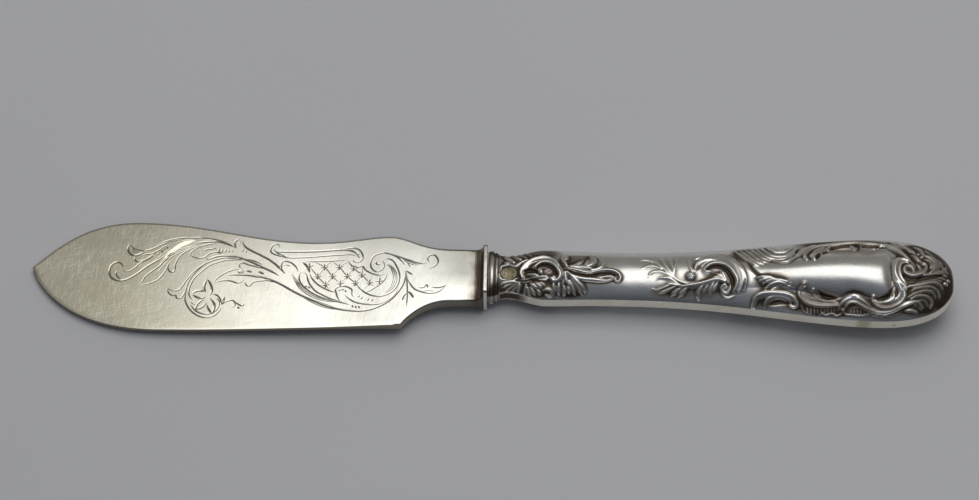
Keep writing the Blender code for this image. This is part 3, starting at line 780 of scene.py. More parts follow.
def make_blade():
    """The blade, with values for its finish: the bottoms of its cuts, its side for painted shade and its rim
    for a painted highlight.
    """
    verts, faces = blade_mesh_data()
    piece = new_piece("engraved_blade", verts, faces)
    tidy_piece(piece, fill_holes=True)
    cut_tang_room(piece)
    points = mesh_points(piece)
    sunk = blade_half(points[:, 0], points[:, 1]) - points[:, 2]
    depth, bottom = cut_depths(points[:, :2], engraving())
    on_face = (np.abs(sunk - depth) < ON_FACE) & (points[:, 0] < ROOT_END - FLARE_BEND)
    # The near rim's bevel, which gets a painted highlight
    rim_highlight_mask = (sunk > RIM_FROM) & (sunk < RIM_TO) & ~on_face & (points[:, 1] < 0)
    shade_blade(piece, on_face)
    keep_values(piece, "cut", np.where(on_face, bottom, 0))
    # The side below the face, for painted shade
    keep_values(piece, "side", np.clip((sunk - depth - SIDE_FROM) / SIDE_RUN, 0, 1))
    keep_values(piece, "rim", rim_highlight_mask)
    return piece


def make_plate():
    """The bolster plate: a flat block with rounded edges and the room for the tang."""
    piece = new_block("rounded_plate", PLATE_SPAN, 2 * PLATE_HALF_WIDTH, 2 * PLATE_HALF_DEPTH)
    edit_edges(piece, lambda first, last: abs(last.x - first.x) > PLATE_ROUNDING * MM)
    bpy.ops.mesh.bevel(offset=PLATE_CORNER * MM, segments=1, affect="EDGES")
    bpy.ops.mesh.select_all(action="SELECT")
    bpy.ops.mesh.bevel(offset=PLATE_ROUNDING * MM, segments=PLATE_ROUND_STEPS, affect="EDGES")
    bpy.ops.object.mode_set(mode="OBJECT")
    cut_tang_room(piece)
    bpy.ops.object.shade_flat()
    return piece


# Handle: relief stamped into the shells

# Ways of raising a line: its width, its rise, the share of its width that is left at its first and last
# point, how far its soft side slopes away and how far its top is dished
TOOLS = {
    "roll": (0.90, 0.56, 0.5, 0.5, 1.5, 0.0),
    "broad": (1.30, 0.58, 0.4, 0.4, 1.9, 0.0),
    "cord": (0.60, 0.40, 0.4, 0.4, 1.1, 0.0),
    "rib": (0.46, 0.24, 0.4, 0.4, 0.7, 0.0),
    "leaf": (0.70, 0.44, 0.35, 0.9, 1.4, 0.0),
    "blade": (0.56, 0.34, 0.3, 0.9, 1.0, 0.0),
    "lobe": (1.15, 0.48, 0.25, 0.5, 0.95, 0.0),
    "finger": (0.75, 0.40, 0.2, 0.6, 0.68, 0.0),
    "spray": (0.48, 0.27, 0.2, 0.9, 0.75, 0.0),
    "dish": (1.90, 0.44, 0.5, 0.5, 0.0, 0.55),
    "wide dish": (2.50, 0.50, 0.5, 0.4, 0.0, 0.55),
    "fringe": (0.46, 0.15, 0.4, 0.4, 0.0, 0.0),
    "groove": (0.9, -0.30, 0.5, 0.5, 0.0, 0.0),
    "nick": (0.42, -0.20, 0.5, 0.5, 0.0, 0.0),
    "hollow": (1.30, -0.45, 0.3, 0.3, 0.0, 0.0),
    # shade darkens the ground as painted shade and hardly sinks it; valley sinks it a little more
    "shade": (1.15, -0.06, 0.3, 0.3, 0.0, 0.0),
    "valley": (0.60, -0.12, 0.3, 0.5, 0.0, 0.0),
}

# Each line: its tool, its soft side (left or right of its run, both or none), then points along and across
MOUTH_RELIEF = (
    ("cord", "L", (2.85, 0.2), (2.95, 0.75), (3.4, 1.0), (3.95, 1.1), (4.2, 1.75), (4.6, 1.35), (5.2, 0.95),
     (5.85, 0.75), (6.3, 0.9), (6.75, 1.25), (7.3, 1.75), (8.05, 2.15), (8.7, 2.4)),
    ("cord", "R", (2.55, -0.9), (2.6, -1.7), (3.05, -2.2), (3.9, -2.35), (4.5, -2.3), (5.3, -2.5),
     (6.2, -2.0)),
    ("leaf", "R", (2.7, -3.5), (3.05, -3.1), (3.8, -2.9), (4.8, -2.75), (6.0, -2.75)),
    ("finger", "B", (3.05, -4.0), (4.2, -3.55), (5.6, -3.05)),
    ("finger", "B", (3.6, -4.7), (4.9, -4.0), (6.0, -3.3)),
    ("finger", "B", (4.8, -5.0), (5.7, -4.3), (6.5, -3.5)),
    ("lobe", "B", (6.7, -4.8), (6.7, -4.0), (6.8, -3.0)),
    ("cord", "-", (6.1, -5.1), (5.7, -5.5), (6.1, -5.9), (6.6, -5.6)),
    ("finger", "B", (8.0, -5.6), (8.1, -4.6), (8.3, -3.6)),
    ("lobe", "B", (3.4, 3.9), (4.4, 3.0), (5.6, 2.0)),
    ("lobe", "B", (4.8, 4.4), (5.8, 3.5), (7.0, 2.7)),
    ("finger", "B", (6.4, 4.6), (7.2, 3.8), (8.2, 3.1)),
    ("finger", "B", (7.6, 4.9), (8.4, 4.1), (9.3, 3.4)),
)

NECK_SCROLL_RELIEF = (
    ("dish", "-", (8.2, 0.3), (8.6, 1.2), (9.6, 1.9), (11.0, 2.3), (12.6, 2.3), (14.0, 1.7), (14.9, 0.7),
     (15.4, -0.5)),
    ("roll", "R", (7.5, -2.0), (7.1, -1.0), (7.2, -0.2), (7.65, 0.55), (8.3, 1.3), (9.4, 2.1), (10.3, 2.5),
     (12.0, 2.85), (13.5, 2.5), (14.6, 1.6), (15.4, 0.5)),
    ("cord", "L", (8.1, 0.25), (8.5, 1.0), (9.05, 1.6), (9.7, 2.0)),
    ("roll", "L", (10.2, 0.1), (10.85, 0.75), (11.7, 1.3), (12.7, 1.4), (13.65, 1.1), (14.65, 0.3),
     (15.3, -0.6), (15.6, -1.3), (15.45, -2.2), (14.9, -2.8), (14.1, -2.9), (13.7, -2.4)),
    ("hollow", "-", (10.7, 0.0), (11.6, 0.7), (12.7, 0.75), (13.7, 0.35), (14.4, -0.5), (14.7, -1.5)),
    ("hollow", "-", (8.0, -0.5), (8.9, -0.5), (9.9, -0.7), (10.8, -1.0)),
    ("finger", "B", (8.4, -1.5), (9.6, -1.5), (10.8, -1.8)),
    ("cord", "R", (11.45, -0.35), (11.55, -0.9), (11.7, -1.4)),
    ("cord", "R", (9.4, -2.15), (10.8, -2.15), (12.0, -2.05), (12.7, -2.1), (12.9, -2.5), (12.4, -2.9),
     (11.0, -2.8)),
    ("rib", "-", (7.0, -2.45), (8.0, -2.5), (9.1, -2.4)),
    ("rib", "-", (7.2, -2.95), (8.2, -3.1), (9.3, -2.9)),
    ("lobe", "B", (10.9, -4.5), (10.1, -4.0), (9.3, -3.45)),
    ("lobe", "B", (11.8, -4.45), (11.1, -3.95), (10.4, -3.4)),
    ("finger", "B", (12.6, -4.3), (12.0, -3.8), (11.4, -3.35)),
    ("finger", "B", (10.4, -5.8), (9.8, -5.0), (9.2, -4.2)),
    ("finger", "B", (9.4, -5.7), (8.9, -5.0), (8.6, -4.2)),
    ("cord", "L", (12.0, -5.0), (12.6, -4.8), (13.4, -4.9), (13.8, -5.4), (13.3, -5.8), (12.6, -5.7)),
    ("finger", "B", (11.4, -5.8), (11.0, -5.1), (10.7, -4.8)),
    ("lobe", "B", (14.4, -5.5), (14.3, -4.7), (14.2, -3.7)),
    ("lobe", "B", (15.5, -5.7), (15.3, -4.8), (15.4, -3.6)),
)

NECK_LEAF_RELIEF = (
    ("roll", "L", (17.2, -0.15), (19.1, -0.45), (20.9, -0.95), (22.2, -1.1), (23.4, -0.75)),
    ("roll", "-", (22.6, -1.0), (23.4, -0.75), (24.85, -0.4), (26.2, -0.3), (27.5, -0.6), (28.4, -1.3),
     (28.65, -2.2), (28.2, -2.85), (27.6, -2.7), (27.4, -2.2)),
    ("broad", "-", (17.0, -0.9), (18.25, -1.75), (19.6, -2.3), (20.9, -2.5), (22.5, -2.6), (24.2, -2.75),
     (25.6, -2.8), (26.8, -2.5)),
    ("groove", "-", (17.8, -0.6), (19.3, -1.5), (20.9, -1.75), (22.9, -1.6), (24.85, -1.25), (26.5, -1.2),
     (27.5, -1.6)),
    ("rib", "-", (24.0, -2.1), (25.4, -1.9), (26.8, -1.8)),
    ("roll", "L", (17.9, 0.35), (18.6, 0.35), (19.8, 0.2), (21.2, 0.1), (22.4, -0.2)),
    ("lobe", "B", (20.6, 2.1), (20.0, 1.4), (19.2, 0.8), (18.2, 0.4)),
    ("broad", "R", (22.3, 3.5), (22.9, 2.6), (23.0, 1.7), (22.4, 0.9), (21.2, 0.4)),
    ("lobe", "B", (21.5, 2.2), (21.5, 1.4), (20.9, 0.7)),
    ("leaf", "L", (24.9, 1.3), (24.5, 0.5), (23.6, -0.1), (22.4, -0.4)),
    ("nick", "-", (21.4, -0.5), (22.6, -0.2), (23.4, 0.5), (23.6, 1.4)),
    ("cord", "L", (17.3, 2.5), (17.3, 3.0), (16.6, 3.3), (16.1, 2.7), (16.2, 2.0), (16.6, 1.3), (17.0, 0.6)),
    ("roll", "-", (16.65, -1.0), (16.8, -2.1), (17.05, -3.0), (17.5, -3.8)),
    ("finger", "B", (16.6, -2.2), (16.3, -3.2), (16.2, -4.0)),
    ("broad", "L", (21.1, -4.9), (20.6, -4.2), (19.7, -3.4), (18.7, -2.5), (17.7, -1.6)),
    ("lobe", "B", (20.5, -5.6), (19.9, -4.8), (19.0, -3.7), (18.0, -2.5)),
    ("lobe", "B", (18.9, -5.6), (18.6, -4.9), (18.1, -3.9), (17.6, -2.9)),
    ("lobe", "B", (17.6, -5.4), (17.5, -4.8), (17.3, -4.1)),
    ("lobe", "B", (16.5, -5.8), (16.5, -5.0), (16.5, -4.1)),
)

SPRAY_RELIEF = (
    ("spray", "L", (32.9, 2.35), (34.0, 2.55), (35.2, 2.3), (36.4, 1.75), (37.3, 1.0), (38.5, -0.3),
     (39.6, -1.45), (41.0, -2.5), (42.6, -3.1), (45.1, -3.05)),
    ("spray", "L", (33.4, 0.3), (34.4, 0.7), (35.7, 0.9), (36.9, 0.5), (37.4, 0.2)),
    ("spray", "R", (34.7, -1.85), (34.9, -1.1), (35.6, -0.55), (36.6, -0.35), (37.5, -0.4), (38.6, -0.95),
     (39.8, -1.8)),
    ("spray", "R", (36.4, -2.45), (36.9, -2.0), (37.9, -1.85), (39.2, -2.0), (40.3, -2.7), (41.4, -3.4),
     (42.6, -3.6)),
    ("spray", "L", (37.5, 3.4), (37.6, 2.5), (38.1, 1.5), (39.0, 0.2), (39.8, -1.1)),
    ("spray", "L", (39.3, 3.2), (39.5, 2.0), (39.9, 0.6), (40.1, -0.6), (40.2, -1.5)),
    ("spray", "L", (41.0, 2.9), (40.7, 1.7), (40.4, 0.5), (40.3, -0.8)),
    ("finger", "B", (35.6, -4.4), (36.6, -4.5), (37.6, -4.2), (38.6, -3.8), (39.8, -3.4)),
    ("finger", "B", (36.6, -5.2), (37.8, -4.9), (39.2, -4.4), (40.6, -3.8)),
    ("finger", "B", (38.4, -3.2), (39.6, -3.3), (41.0, -3.6)),
    ("lobe", "B", (39.6, -5.6), (40.6, -4.9), (41.6, -4.2)),
    ("lobe", "B", (41.2, -5.8), (42.0, -5.0), (43.0, -4.1)),
    ("roll", "R", (41.6, -3.75), (44.0, -3.45), (45.8, -3.15), (47.2, -2.8), (48.7, -2.4), (50.2, -2.4),
     (51.2, -2.9)),
    ("lobe", "B", (45.6, -6.3), (45.5, -5.2), (45.9, -4.3), (46.6, -3.5)),
    ("finger", "B", (46.6, -5.6), (46.8, -4.7), (47.5, -3.5)),
    ("lobe", "B", (47.9, -5.6), (48.0, -4.7), (48.3, -3.9), (48.8, -3.0)),
    ("finger", "B", (48.8, -5.2), (49.0, -4.2), (49.7, -2.9)),
    ("spray", "L", (43.7, 2.9), (43.5, 1.9), (43.6, 0.8), (44.1, -0.4)),
)

MIDDLE_SCROLL_RELIEF = (
    ("wide dish", "-", (45.4, 1.4), (46.6, 2.6), (48.4, 3.1), (50.3, 2.7), (52.2, 1.6), (53.6, 0.1),
     (54.5, -1.6), (54.6, -3.2), (54.2, -4.8)),
    ("roll", "R", (44.75, 0.2), (45.1, 1.2), (45.9, 1.9), (47.1, 2.45), (48.2, 2.55), (49.4, 2.2)),
    ("nick", "-", (45.1, -0.3), (45.6, 0.5), (46.4, 1.5), (47.2, 1.95)),
    ("roll", "L", (47.2, 0.45), (47.9, 1.15), (49.05, 1.55), (50.4, 1.4), (51.5, 0.95), (52.5, 0.0),
     (53.2, -1.1), (53.7, -2.1), (53.8, -3.0), (53.5, -4.0), (53.0, -4.9)),
    ("cord", "R", (45.0, 3.0), (47.1, 3.7), (48.9, 4.1), (50.5, 3.6), (52.0, 2.7), (53.3, 1.5), (54.2, 0.3),
     (54.8, -1.0), (55.0, -2.4), (54.9, -3.7), (54.5, -5.0)),
    ("cord", "-", (50.2, 4.2), (52.6, 3.1), (54.0, 1.6), (55.1, -0.2), (55.7, -1.9), (55.7, -3.4),
     (55.3, -5.0)),
    ("hollow", "-", (47.3, 0.0), (48.5, 0.6), (49.9, 0.8), (51.2, 0.2), (52.1, -0.9), (52.7, -2.3),
     (52.8, -3.8)),
    ("lobe", "B", (50.2, -0.4), (50.9, -1.4), (51.5, -2.7)),
    ("finger", "B", (49.2, -1.0), (50.3, -1.6), (51.2, -2.6)),
    ("finger", "B", (48.4, -1.9), (49.6, -1.9), (50.8, -2.5)),
    ("cord", "R", (46.6, 0.25), (47.2, -0.4), (48.2, -0.45)),
    ("cord", "-", (52.3, -3.7), (52.25, -4.6), (51.6, -5.2), (50.8, -5.0), (50.4, -4.3), (50.75, -3.65),
     (51.35, -3.6), (51.55, -4.2)),
    ("rib", "-", (50.2, -5.0), (50.9, -5.8), (52.0, -6.15), (53.3, -5.8)),
    ("spray", "L", (50.3, -0.4), (50.9, -1.2), (51.5, -2.2), (51.9, -3.1)),
)

FEATHER_RELIEF = (
    ("leaf", "L", (53.6, 5.0), (54.9, 3.4), (56.4, 1.9), (57.6, 1.0)),
    ("leaf", "L", (54.6, 5.3), (55.9, 3.6), (57.5, 2.1), (58.8, 1.3)),
    ("leaf", "L", (55.7, 5.5), (57.0, 3.8), (58.4, 2.5), (59.8, 1.6)),
    ("leaf", "L", (56.8, 5.7), (58.0, 4.1), (59.3, 2.9), (60.8, 2.1)),
    ("roll", "L", (58.2, 5.6), (59.0, 4.2), (60.1, 3.2), (61.6, 2.5), (63.4, 2.3), (65.0, 2.7), (66.4, 3.9)),
    ("broad", "L", (59.2, 5.9), (60.0, 4.6), (61.2, 3.5), (63.0, 3.05), (64.8, 3.3), (66.0, 4.3),
     (66.9, 5.4)),
    ("roll", "L", (60.6, 6.2), (61.4, 4.9), (62.7, 4.3), (64.7, 4.5), (65.9, 5.4)),
    ("roll", "L", (61.8, 1.75), (62.9, 1.2), (64.0, 1.05), (65.0, 1.3), (66.2, 2.3), (67.4, 3.4), (68.5, 4.6),
     (69.7, 5.7), (71.0, 6.4)),
    ("groove", "-", (56.0, 2.2), (56.6, 0.9), (57.4, -0.4), (58.4, -1.6), (59.4, -2.8), (59.9, -3.6)),
    ("nick", "-", (57.5, -1.1), (58.7, -1.4), (59.6, -1.5)),
    ("leaf", "R", (57.9, -2.1), (59.2, -2.0), (61.0, -2.2)),
    ("leaf", "R", (58.6, -2.9), (59.9, -2.55), (61.5, -2.5)),
    ("leaf", "R", (59.3, -3.5), (60.9, -2.95), (62.7, -2.9), (64.6, -3.4)),
    ("roll", "R", (59.8, -4.5), (61.0, -3.8), (62.5, -3.45), (64.2, -3.8)),
    ("leaf", "R", (61.1, -4.8), (62.4, -4.3), (63.7, -4.05), (65.2, -4.4)),
    ("broad", "R", (57.2, -7.8), (57.3, -7.0), (57.9, -6.0), (59.0, -5.5), (60.6, -5.35), (62.7, -5.45),
     (64.4, -5.75), (65.8, -6.3), (66.6, -7.2), (66.8, -7.8), (66.2, -8.2), (65.3, -8.0)),
    ("cord", "R", (59.7, -7.8), (59.9, -7.0), (60.6, -6.4), (62.1, -6.15), (63.9, -6.4), (65.2, -7.0),
     (65.4, -7.5)),
    ("hollow", "-", (60.9, -7.6), (61.9, -7.3), (63.1, -7.2), (64.3, -7.5)),
)

FRAME_RELIEF = (
    ("roll", "R", (68.6, 1.2), (68.35, 2.3), (68.5, 3.5), (69.1, 4.6), (70.1, 5.5), (71.4, 6.1), (73.4, 6.5),
     (75.6, 6.9), (77.8, 7.2), (79.9, 7.3), (82.4, 7.1), (84.5, 6.8), (86.0, 6.4)),
    ("roll", "R", (70.4, 1.0), (69.9, 1.9), (70.0, 2.9), (70.5, 3.9), (71.4, 4.9), (72.6, 5.6)),
    ("lobe", "B", (70.4, 1.1), (70.3, 1.9), (70.8, 3.0), (71.6, 4.2)),
    ("lobe", "B", (72.2, 3.1), (71.9, 3.9), (72.3, 4.8), (73.0, 5.6)),
    ("lobe", "B", (73.7, 4.3), (73.6, 5.0), (74.2, 5.8)),
    ("hollow", "-", (74.0, 5.0), (75.4, 5.6), (77.0, 6.1), (78.8, 6.6), (80.4, 6.8)),
    ("hollow", "-", (81.2, 5.9), (82.6, 6.1), (84.0, 6.1), (85.2, 5.7)),
    ("hollow", "-", (70.9, 0.9), (71.2, 2.0), (71.6, 3.0)),
    ("hollow", "-", (72.5, 2.9), (73.0, 3.8), (73.5, 4.5)),
    ("hollow", "-", (71.4, -5.2), (72.3, -6.1), (73.8, -6.6), (75.2, -6.7)),
    ("nick", "-", (86.6, 5.2), (87.8, 4.4), (88.5, 3.4), (88.0, 2.6)),
    ("nick", "-", (87.1, 1.6), (86.95, -0.2), (87.0, -1.8), (87.2, -3.0)),
    ("spray", "L", (75.0, 5.0), (76.6, 5.3), (78.4, 5.3), (79.4, 4.8)),
    ("finger", "B", (79.6, 4.7), (79.3, 5.5), (78.6, 6.2)),
    ("rib", "-", (80.9, 5.5), (80.9, 6.3), (80.6, 6.9)),
    ("rib", "-", (84.3, 5.4), (84.8, 6.0), (85.4, 6.4)),
    ("broad", "-", (84.9, 6.6), (86.2, 6.35), (87.3, 5.85), (88.4, 5.2), (89.3, 4.4), (90.2, 3.4),
     (91.1, 2.5)),
    ("dish", "-", (90.4, 2.1), (89.4, 2.0), (88.6, 1.2), (88.35, 0.0), (88.5, -1.4), (89.1, -2.7),
     (89.9, -3.6)),
    ("roll", "R", (91.0, 2.1), (89.8, 2.5), (88.8, 2.2), (88.15, 1.3), (87.9, 0.3), (87.85, -0.75),
     (88.05, -1.7), (88.5, -2.6), (89.2, -3.4), (89.9, -4.1), (90.3, -4.7)),
    ("cord", "L", (90.9, 1.6), (90.1, 1.8), (89.3, 1.35), (88.95, 0.4), (88.9, -0.8), (89.2, -2.0),
     (89.8, -2.8)),
    ("hollow", "-", (90.6, 1.2), (89.6, 0.9), (89.3, -0.3), (89.6, -1.5), (90.6, -2.2), (92.0, -2.2)),
    ("roll", "L", (91.2, 0.9), (90.3, 0.9), (89.7, 0.1), (89.8, -0.8), (90.4, -1.3), (91.3, -1.55),
     (92.4, -1.4), (93.5, -0.9), (94.3, -0.3), (94.75, 0.7), (94.6, 1.6), (94.0, 2.0)),
    ("cord", "L", (90.9, 1.3), (91.5, 0.5), (91.8, -0.3)),
    ("broad", "L", (93.9, 3.4), (94.6, 3.75), (95.3, 3.65), (96.0, 3.2), (96.5, 2.4), (96.4, 1.4),
     (96.1, 0.4), (95.4, -0.4)),
    ("cord", "L", (94.5, 2.9), (95.3, 2.75), (95.75, 1.9), (95.5, 0.8)),
    ("dish", "-", (88.1, -3.5), (88.8, -4.6), (89.2, -5.6), (88.8, -6.8), (87.6, -7.7), (86.0, -8.2),
     (84.5, -8.1), (83.4, -7.5)),
    ("roll", "-", (87.6, -3.2), (88.3, -3.4), (88.75, -4.2), (89.05, -5.0), (89.2, -5.8)),
    ("spray", "L", (91.3, 2.3), (91.7, 1.4), (91.9, 0.5), (91.8, -0.4)),
    ("spray", "R", (92.6, 1.6), (93.2, 1.0), (93.4, 0.2), (93.0, -0.6)),
    ("roll", "L", (89.4, -4.7), (89.75, -5.6), (89.6, -6.4), (89.1, -7.2), (88.2, -7.9), (87.1, -8.4),
     (86.0, -8.6), (84.9, -8.6), (83.9, -8.3), (83.2, -7.8), (82.85, -7.1), (83.0, -6.6)),
    ("cord", "R", (87.6, -6.0), (87.4, -6.7), (86.6, -7.3), (85.6, -7.55), (84.5, -7.5)),
    ("rib", "-", (84.2, -8.05), (85.1, -8.1), (85.9, -7.95)),
    ("hollow", "-", (83.9, -7.0), (85.2, -6.8), (86.5, -6.3)),
    ("dish", "-", (67.7, -4.8), (67.9, -6.0), (68.8, -6.9), (70.2, -7.4), (72.2, -7.75), (75.2, -7.85)),
    ("roll", "L", (67.9, -4.2), (67.2, -4.9), (67.05, -5.7), (67.3, -6.4), (68.1, -7.1), (69.1, -7.65),
     (70.4, -8.0), (72.0, -8.2), (73.9, -8.25), (75.5, -8.2)),
    ("rib", "-", (68.3, -4.9), (68.5, -5.6), (69.1, -6.3), (70.0, -6.9)),
    ("cord", "R", (70.1, -5.2), (70.3, -5.9), (70.9, -6.6), (71.8, -7.05), (72.8, -7.3), (75.0, -7.4)),
    ("rib", "-", (73.3, -7.1), (75.2, -7.1)),
    ("broad", "R", (75.7, -8.7), (75.9, -8.1), (76.5, -7.55), (77.2, -7.1), (78.1, -6.8), (79.1, -6.7),
     (80.2, -7.0), (81.2, -7.55), (81.9, -8.0), (82.4, -8.45)),
    ("roll", "L", (77.2, -8.6), (77.5, -8.1), (78.3, -7.7), (79.3, -7.75), (80.4, -8.2), (81.5, -8.7),
     (82.6, -9.05), (83.7, -9.35), (85.0, -9.45), (86.5, -9.3), (87.9, -8.85), (89.3, -8.2), (90.7, -7.6),
     (92.0, -7.2), (92.8, -7.3), (93.4, -7.9)),
    ("rib", "-", (78.2, -8.9), (79.2, -8.6), (80.1, -8.65), (81.4, -9.1), (83.0, -9.7)),
)

BUTT_RELIEF = (
    ("broad", "R", (90.7, -4.0), (91.5, -3.9), (92.7, -3.6), (93.8, -3.3), (94.9, -2.9), (96.2, -2.6),
     (97.3, -2.7), (98.0, -3.3)),
    ("roll", "R", (91.2, -5.0), (91.9, -4.6), (93.1, -4.2), (94.2, -3.9), (95.5, -3.7), (96.6, -4.0),
     (97.2, -4.6), (97.4, -5.2)),
    ("roll", "R", (90.6, -6.3), (91.5, -5.7), (92.7, -5.2), (93.8, -4.8), (95.0, -4.6), (96.0, -4.8),
     (96.5, -5.5)),
    ("roll", "R", (91.0, -6.8), (92.1, -6.1), (93.3, -5.8), (94.5, -5.8), (95.5, -6.2), (95.8, -6.9),
     (95.5, -7.6)),
    ("blade", "R", (92.4, -7.0), (93.4, -6.6), (94.3, -6.7), (94.8, -7.3)),
    ("hollow", "-", (98.0, -0.7), (96.0, -1.2), (94.0, -1.9), (92.0, -2.5)),
    ("leaf", "R", (98.6, 0.3), (97.4, -0.3), (95.8, -0.8), (94.0, -1.3)),
    ("cord", "L", (99.0, 1.8), (98.4, 0.9), (97.4, 0.3), (96.4, -0.2)),
    ("cord", "L", (97.4, 3.4), (97.7, 2.4), (97.4, 1.3)),
    ("leaf", "L", (92.4, 6.4), (93.3, 5.7), (93.8, 4.9), (94.1, 4.2)),
    ("cord", "L", (91.0, 5.8), (91.8, 5.0), (92.4, 4.2)),
    ("cord", "L", (89.8, 6.4), (90.7, 5.6), (91.4, 4.7)),
    ("leaf", "L", (91.6, 3.7), (92.4, 3.1), (93.0, 2.4)),
    ("spray", "R", (92.6, -2.7), (94.4, -2.2), (96.2, -1.8), (97.8, -1.9)),
    ("spray", "R", (93.6, -1.9), (95.4, -1.4), (97.2, -1.1), (98.6, -1.2)),
    ("spray", "R", (91.6, -7.6), (92.6, -7.9), (93.4, -8.2)),
    ("spray", "R", (89.6, -9.0), (91.0, -8.7), (92.4, -8.8)),
    ("spray", "L", (97.8, 1.9), (98.6, 1.2), (99.2, 0.4)),
    ("spray", "L", (97.0, 0.9), (98.0, 0.2), (98.9, -0.5)),
    ("spray", "L", (94.6, 5.8), (95.4, 5.0), (96.2, 4.4)),
    ("spray", "L", (88.2, 7.4), (89.4, 6.8), (90.4, 6.2)),
    ("spray", "L", (86.4, 7.8), (87.6, 7.4), (88.6, 7.0)),
)

# Dark ground beside the frames' rolls and between the butt's leaves: painted shade over some tarnish, with
# the ground barely sunk
GROUND_RELIEF = (
    ("shade", "-", (71.3, 1.2), (71.6, 2.2), (71.7, 3.4)),
    ("valley", "-", (72.7, 3.4), (73.0, 4.2), (73.3, 4.8)),
    ("shade", "-", (73.4, 4.9), (75.0, 5.7), (77.0, 6.35), (79.3, 6.8)),
    ("valley", "-", (80.1, 4.6), (80.5, 5.5), (80.9, 6.4)),
    ("shade", "-", (81.4, 6.1), (82.4, 6.3), (83.2, 6.2)),
    ("valley", "-", (84.2, 5.6), (85.1, 5.8), (86.0, 5.6)),
    ("valley", "-", (86.6, 7.5), (87.0, 7.45), (87.5, 7.3)),
    ("valley", "-", (88.3, 7.2), (88.7, 7.1), (89.1, 6.95)),
    ("valley", "-", (90.0, 6.4), (90.5, 6.35), (91.0, 6.2)),
    ("shade", "-", (91.3, 5.3), (92.2, 5.3), (93.0, 4.9)),
    ("shade", "-", (91.0, 3.8), (92.0, 3.3), (93.2, 3.0)),
    ("valley", "-", (76.0, -6.4), (77.0, -5.95), (78.6, -5.6), (80.2, -5.75), (81.6, -6.3), (82.6, -6.5)),
    ("shade", "-", (83.6, -6.9), (85.2, -6.5), (86.6, -5.5), (87.3, -4.2)),
    ("valley", "-", (92.0, -4.25), (93.4, -3.85), (94.8, -3.45), (96.2, -3.3), (97.2, -3.8), (97.7, -4.6)),
    ("valley", "-", (91.4, -5.35), (92.6, -4.85), (94.0, -4.45), (95.4, -4.2), (96.4, -4.5), (96.9, -5.2)),
    ("valley", "-", (91.4, -6.2), (92.6, -5.6), (94.0, -5.3), (95.2, -5.3), (96.0, -5.8)),
    ("valley", "-", (92.0, -6.6), (93.2, -6.3), (94.4, -6.3), (95.0, -6.8)),
    ("shade", "-", (92.2, -7.9), (93.0, -7.8), (93.6, -8.2)),
)

# Raised balls and buttons: along, across, radius, rise
BEADS = (
    (14.3, -2.3, 0.65, 0.45), (6.2, -5.5, 0.35, 0.3), (16.8, 2.5, 0.5, 0.35), (51.3, -4.35, 0.9, 0.22),
    (68.1, -4.1, 0.70, 0.55), (70.1, -5.2, 0.40, 0.42), (76.6, -9.0, 0.55, 0.40), (83.6, 5.3, 0.4, 0.40),
    (94.1, 1.7, 0.55, 0.4), (93.2, 4.3, 0.45, 0.40), (83.1, -6.6, 0.50, 0.45), (88.9, -5.6, 0.35, 0.3),
    (98.8, -2.3, 0.6, 0.35), (99.4, -1.4, 0.5, 0.3), (70.35, 1.3, 0.55, 0.5), (72.1, 3.4, 0.4, 0.5),
)

# A knob of seed balls: along and across, its radius and rise, and the balls round its middle
KNOB = (43.8, -1.6)
KNOB_RADIUS = 1.15
KNOB_RISE = 0.5
KNOB_SEEDS = 6
KNOB_SEED_RADIUS = 0.33
KNOB_SEED_RISE = 0.2
KNOB_SEED_RING = 0.6 * KNOB_RADIUS

# Flat ovals with a dull face: along, across, half length, half width, rise. Their border and the groove round
# them lie at these shares of their half sizes
OVALS = ((4.55, -0.75, 1.65, 1.4, 0.05), (13.05, -0.95, 0.95, 0.75, 0.22))
OVAL_BORDER = 1.06
OVAL_BEVEL = 0.12
OVAL_GROOVE_AT = 1.08
OVAL_GROOVE_WIDTH = 0.09
OVAL_GROOVE_DARK = 0.9

# Wide soft swellings under the relief: along, across, half length, half width, rise
SWELLS = ((12.0, -0.5, 9.0, 6.0, 0.35), (22.0, -1.6, 9.0, 4.0, 0.2), (50.5, -0.6, 8.0, 6.0, 0.2))

# The plain raised cushion between the frames: its middle, its slow start and its end. The dome is lowered
# under it, so that the ground round it lies deeper
BOSS = (76.7, -0.95)
BOSS_START = 54.0
BOSS_RUN = 22.0
BOSS_END = 10.2
BOSS_HALF_WIDTH = 5.9
BOSS_WAIST = 0.55
BOSS_WIDENS = (60.0, 76.0)
BOSS_RISE = 0.8
BOSS_SHARE = 0.33
BOSS_EASE = (50.0, 74.0)
BOSS_FALL = (77.0, 86.5)
BOSS_DROP = 0.25
BOSS_RECOVERS = 0.6
BOSS_END_POWER = 12

# Places where tarnish lies in the ground: along, across, half length, half width, share. They end softly
# round these shares of their half sizes
PATCH_BORDER = 1.15
PATCH_RUN = 0.5
TARNISH = (
    (8.5, -4.4, 8.0, 2.6, 1.0), (8.5, 3.8, 7.5, 2.6, 0.9), (12.0, -0.6, 5.0, 3.2, 0.9),
    (17.8, -4.5, 3.6, 2.4, 0.9), (19.5, 2.2, 4.2, 2.2, 0.7), (5.0, 0.0, 3.0, 5.0, 0.8),
    (41.0, -4.6, 5.5, 1.8, 0.5), (50.2, -2.0, 4.0, 4.2, 0.6), (56.6, 4.2, 4.5, 3.0, 0.7),
    (61.0, -3.2, 4.0, 2.2, 0.6), (62.0, -7.2, 5.0, 1.6, 0.6), (77.0, -8.6, 11.5, 2.0, 0.95),
    (77.0, 7.0, 11.0, 2.2, 0.8), (95.0, 0.0, 7.5, 9.0, 0.9), (92.0, -7.0, 6.0, 3.6, 0.95),
    (98.0, -3.0, 4.0, 7.0, 1.0), (95.0, 6.0, 5.0, 3.0, 0.9), (69.5, 3.4, 2.4, 2.6, 0.6),
)

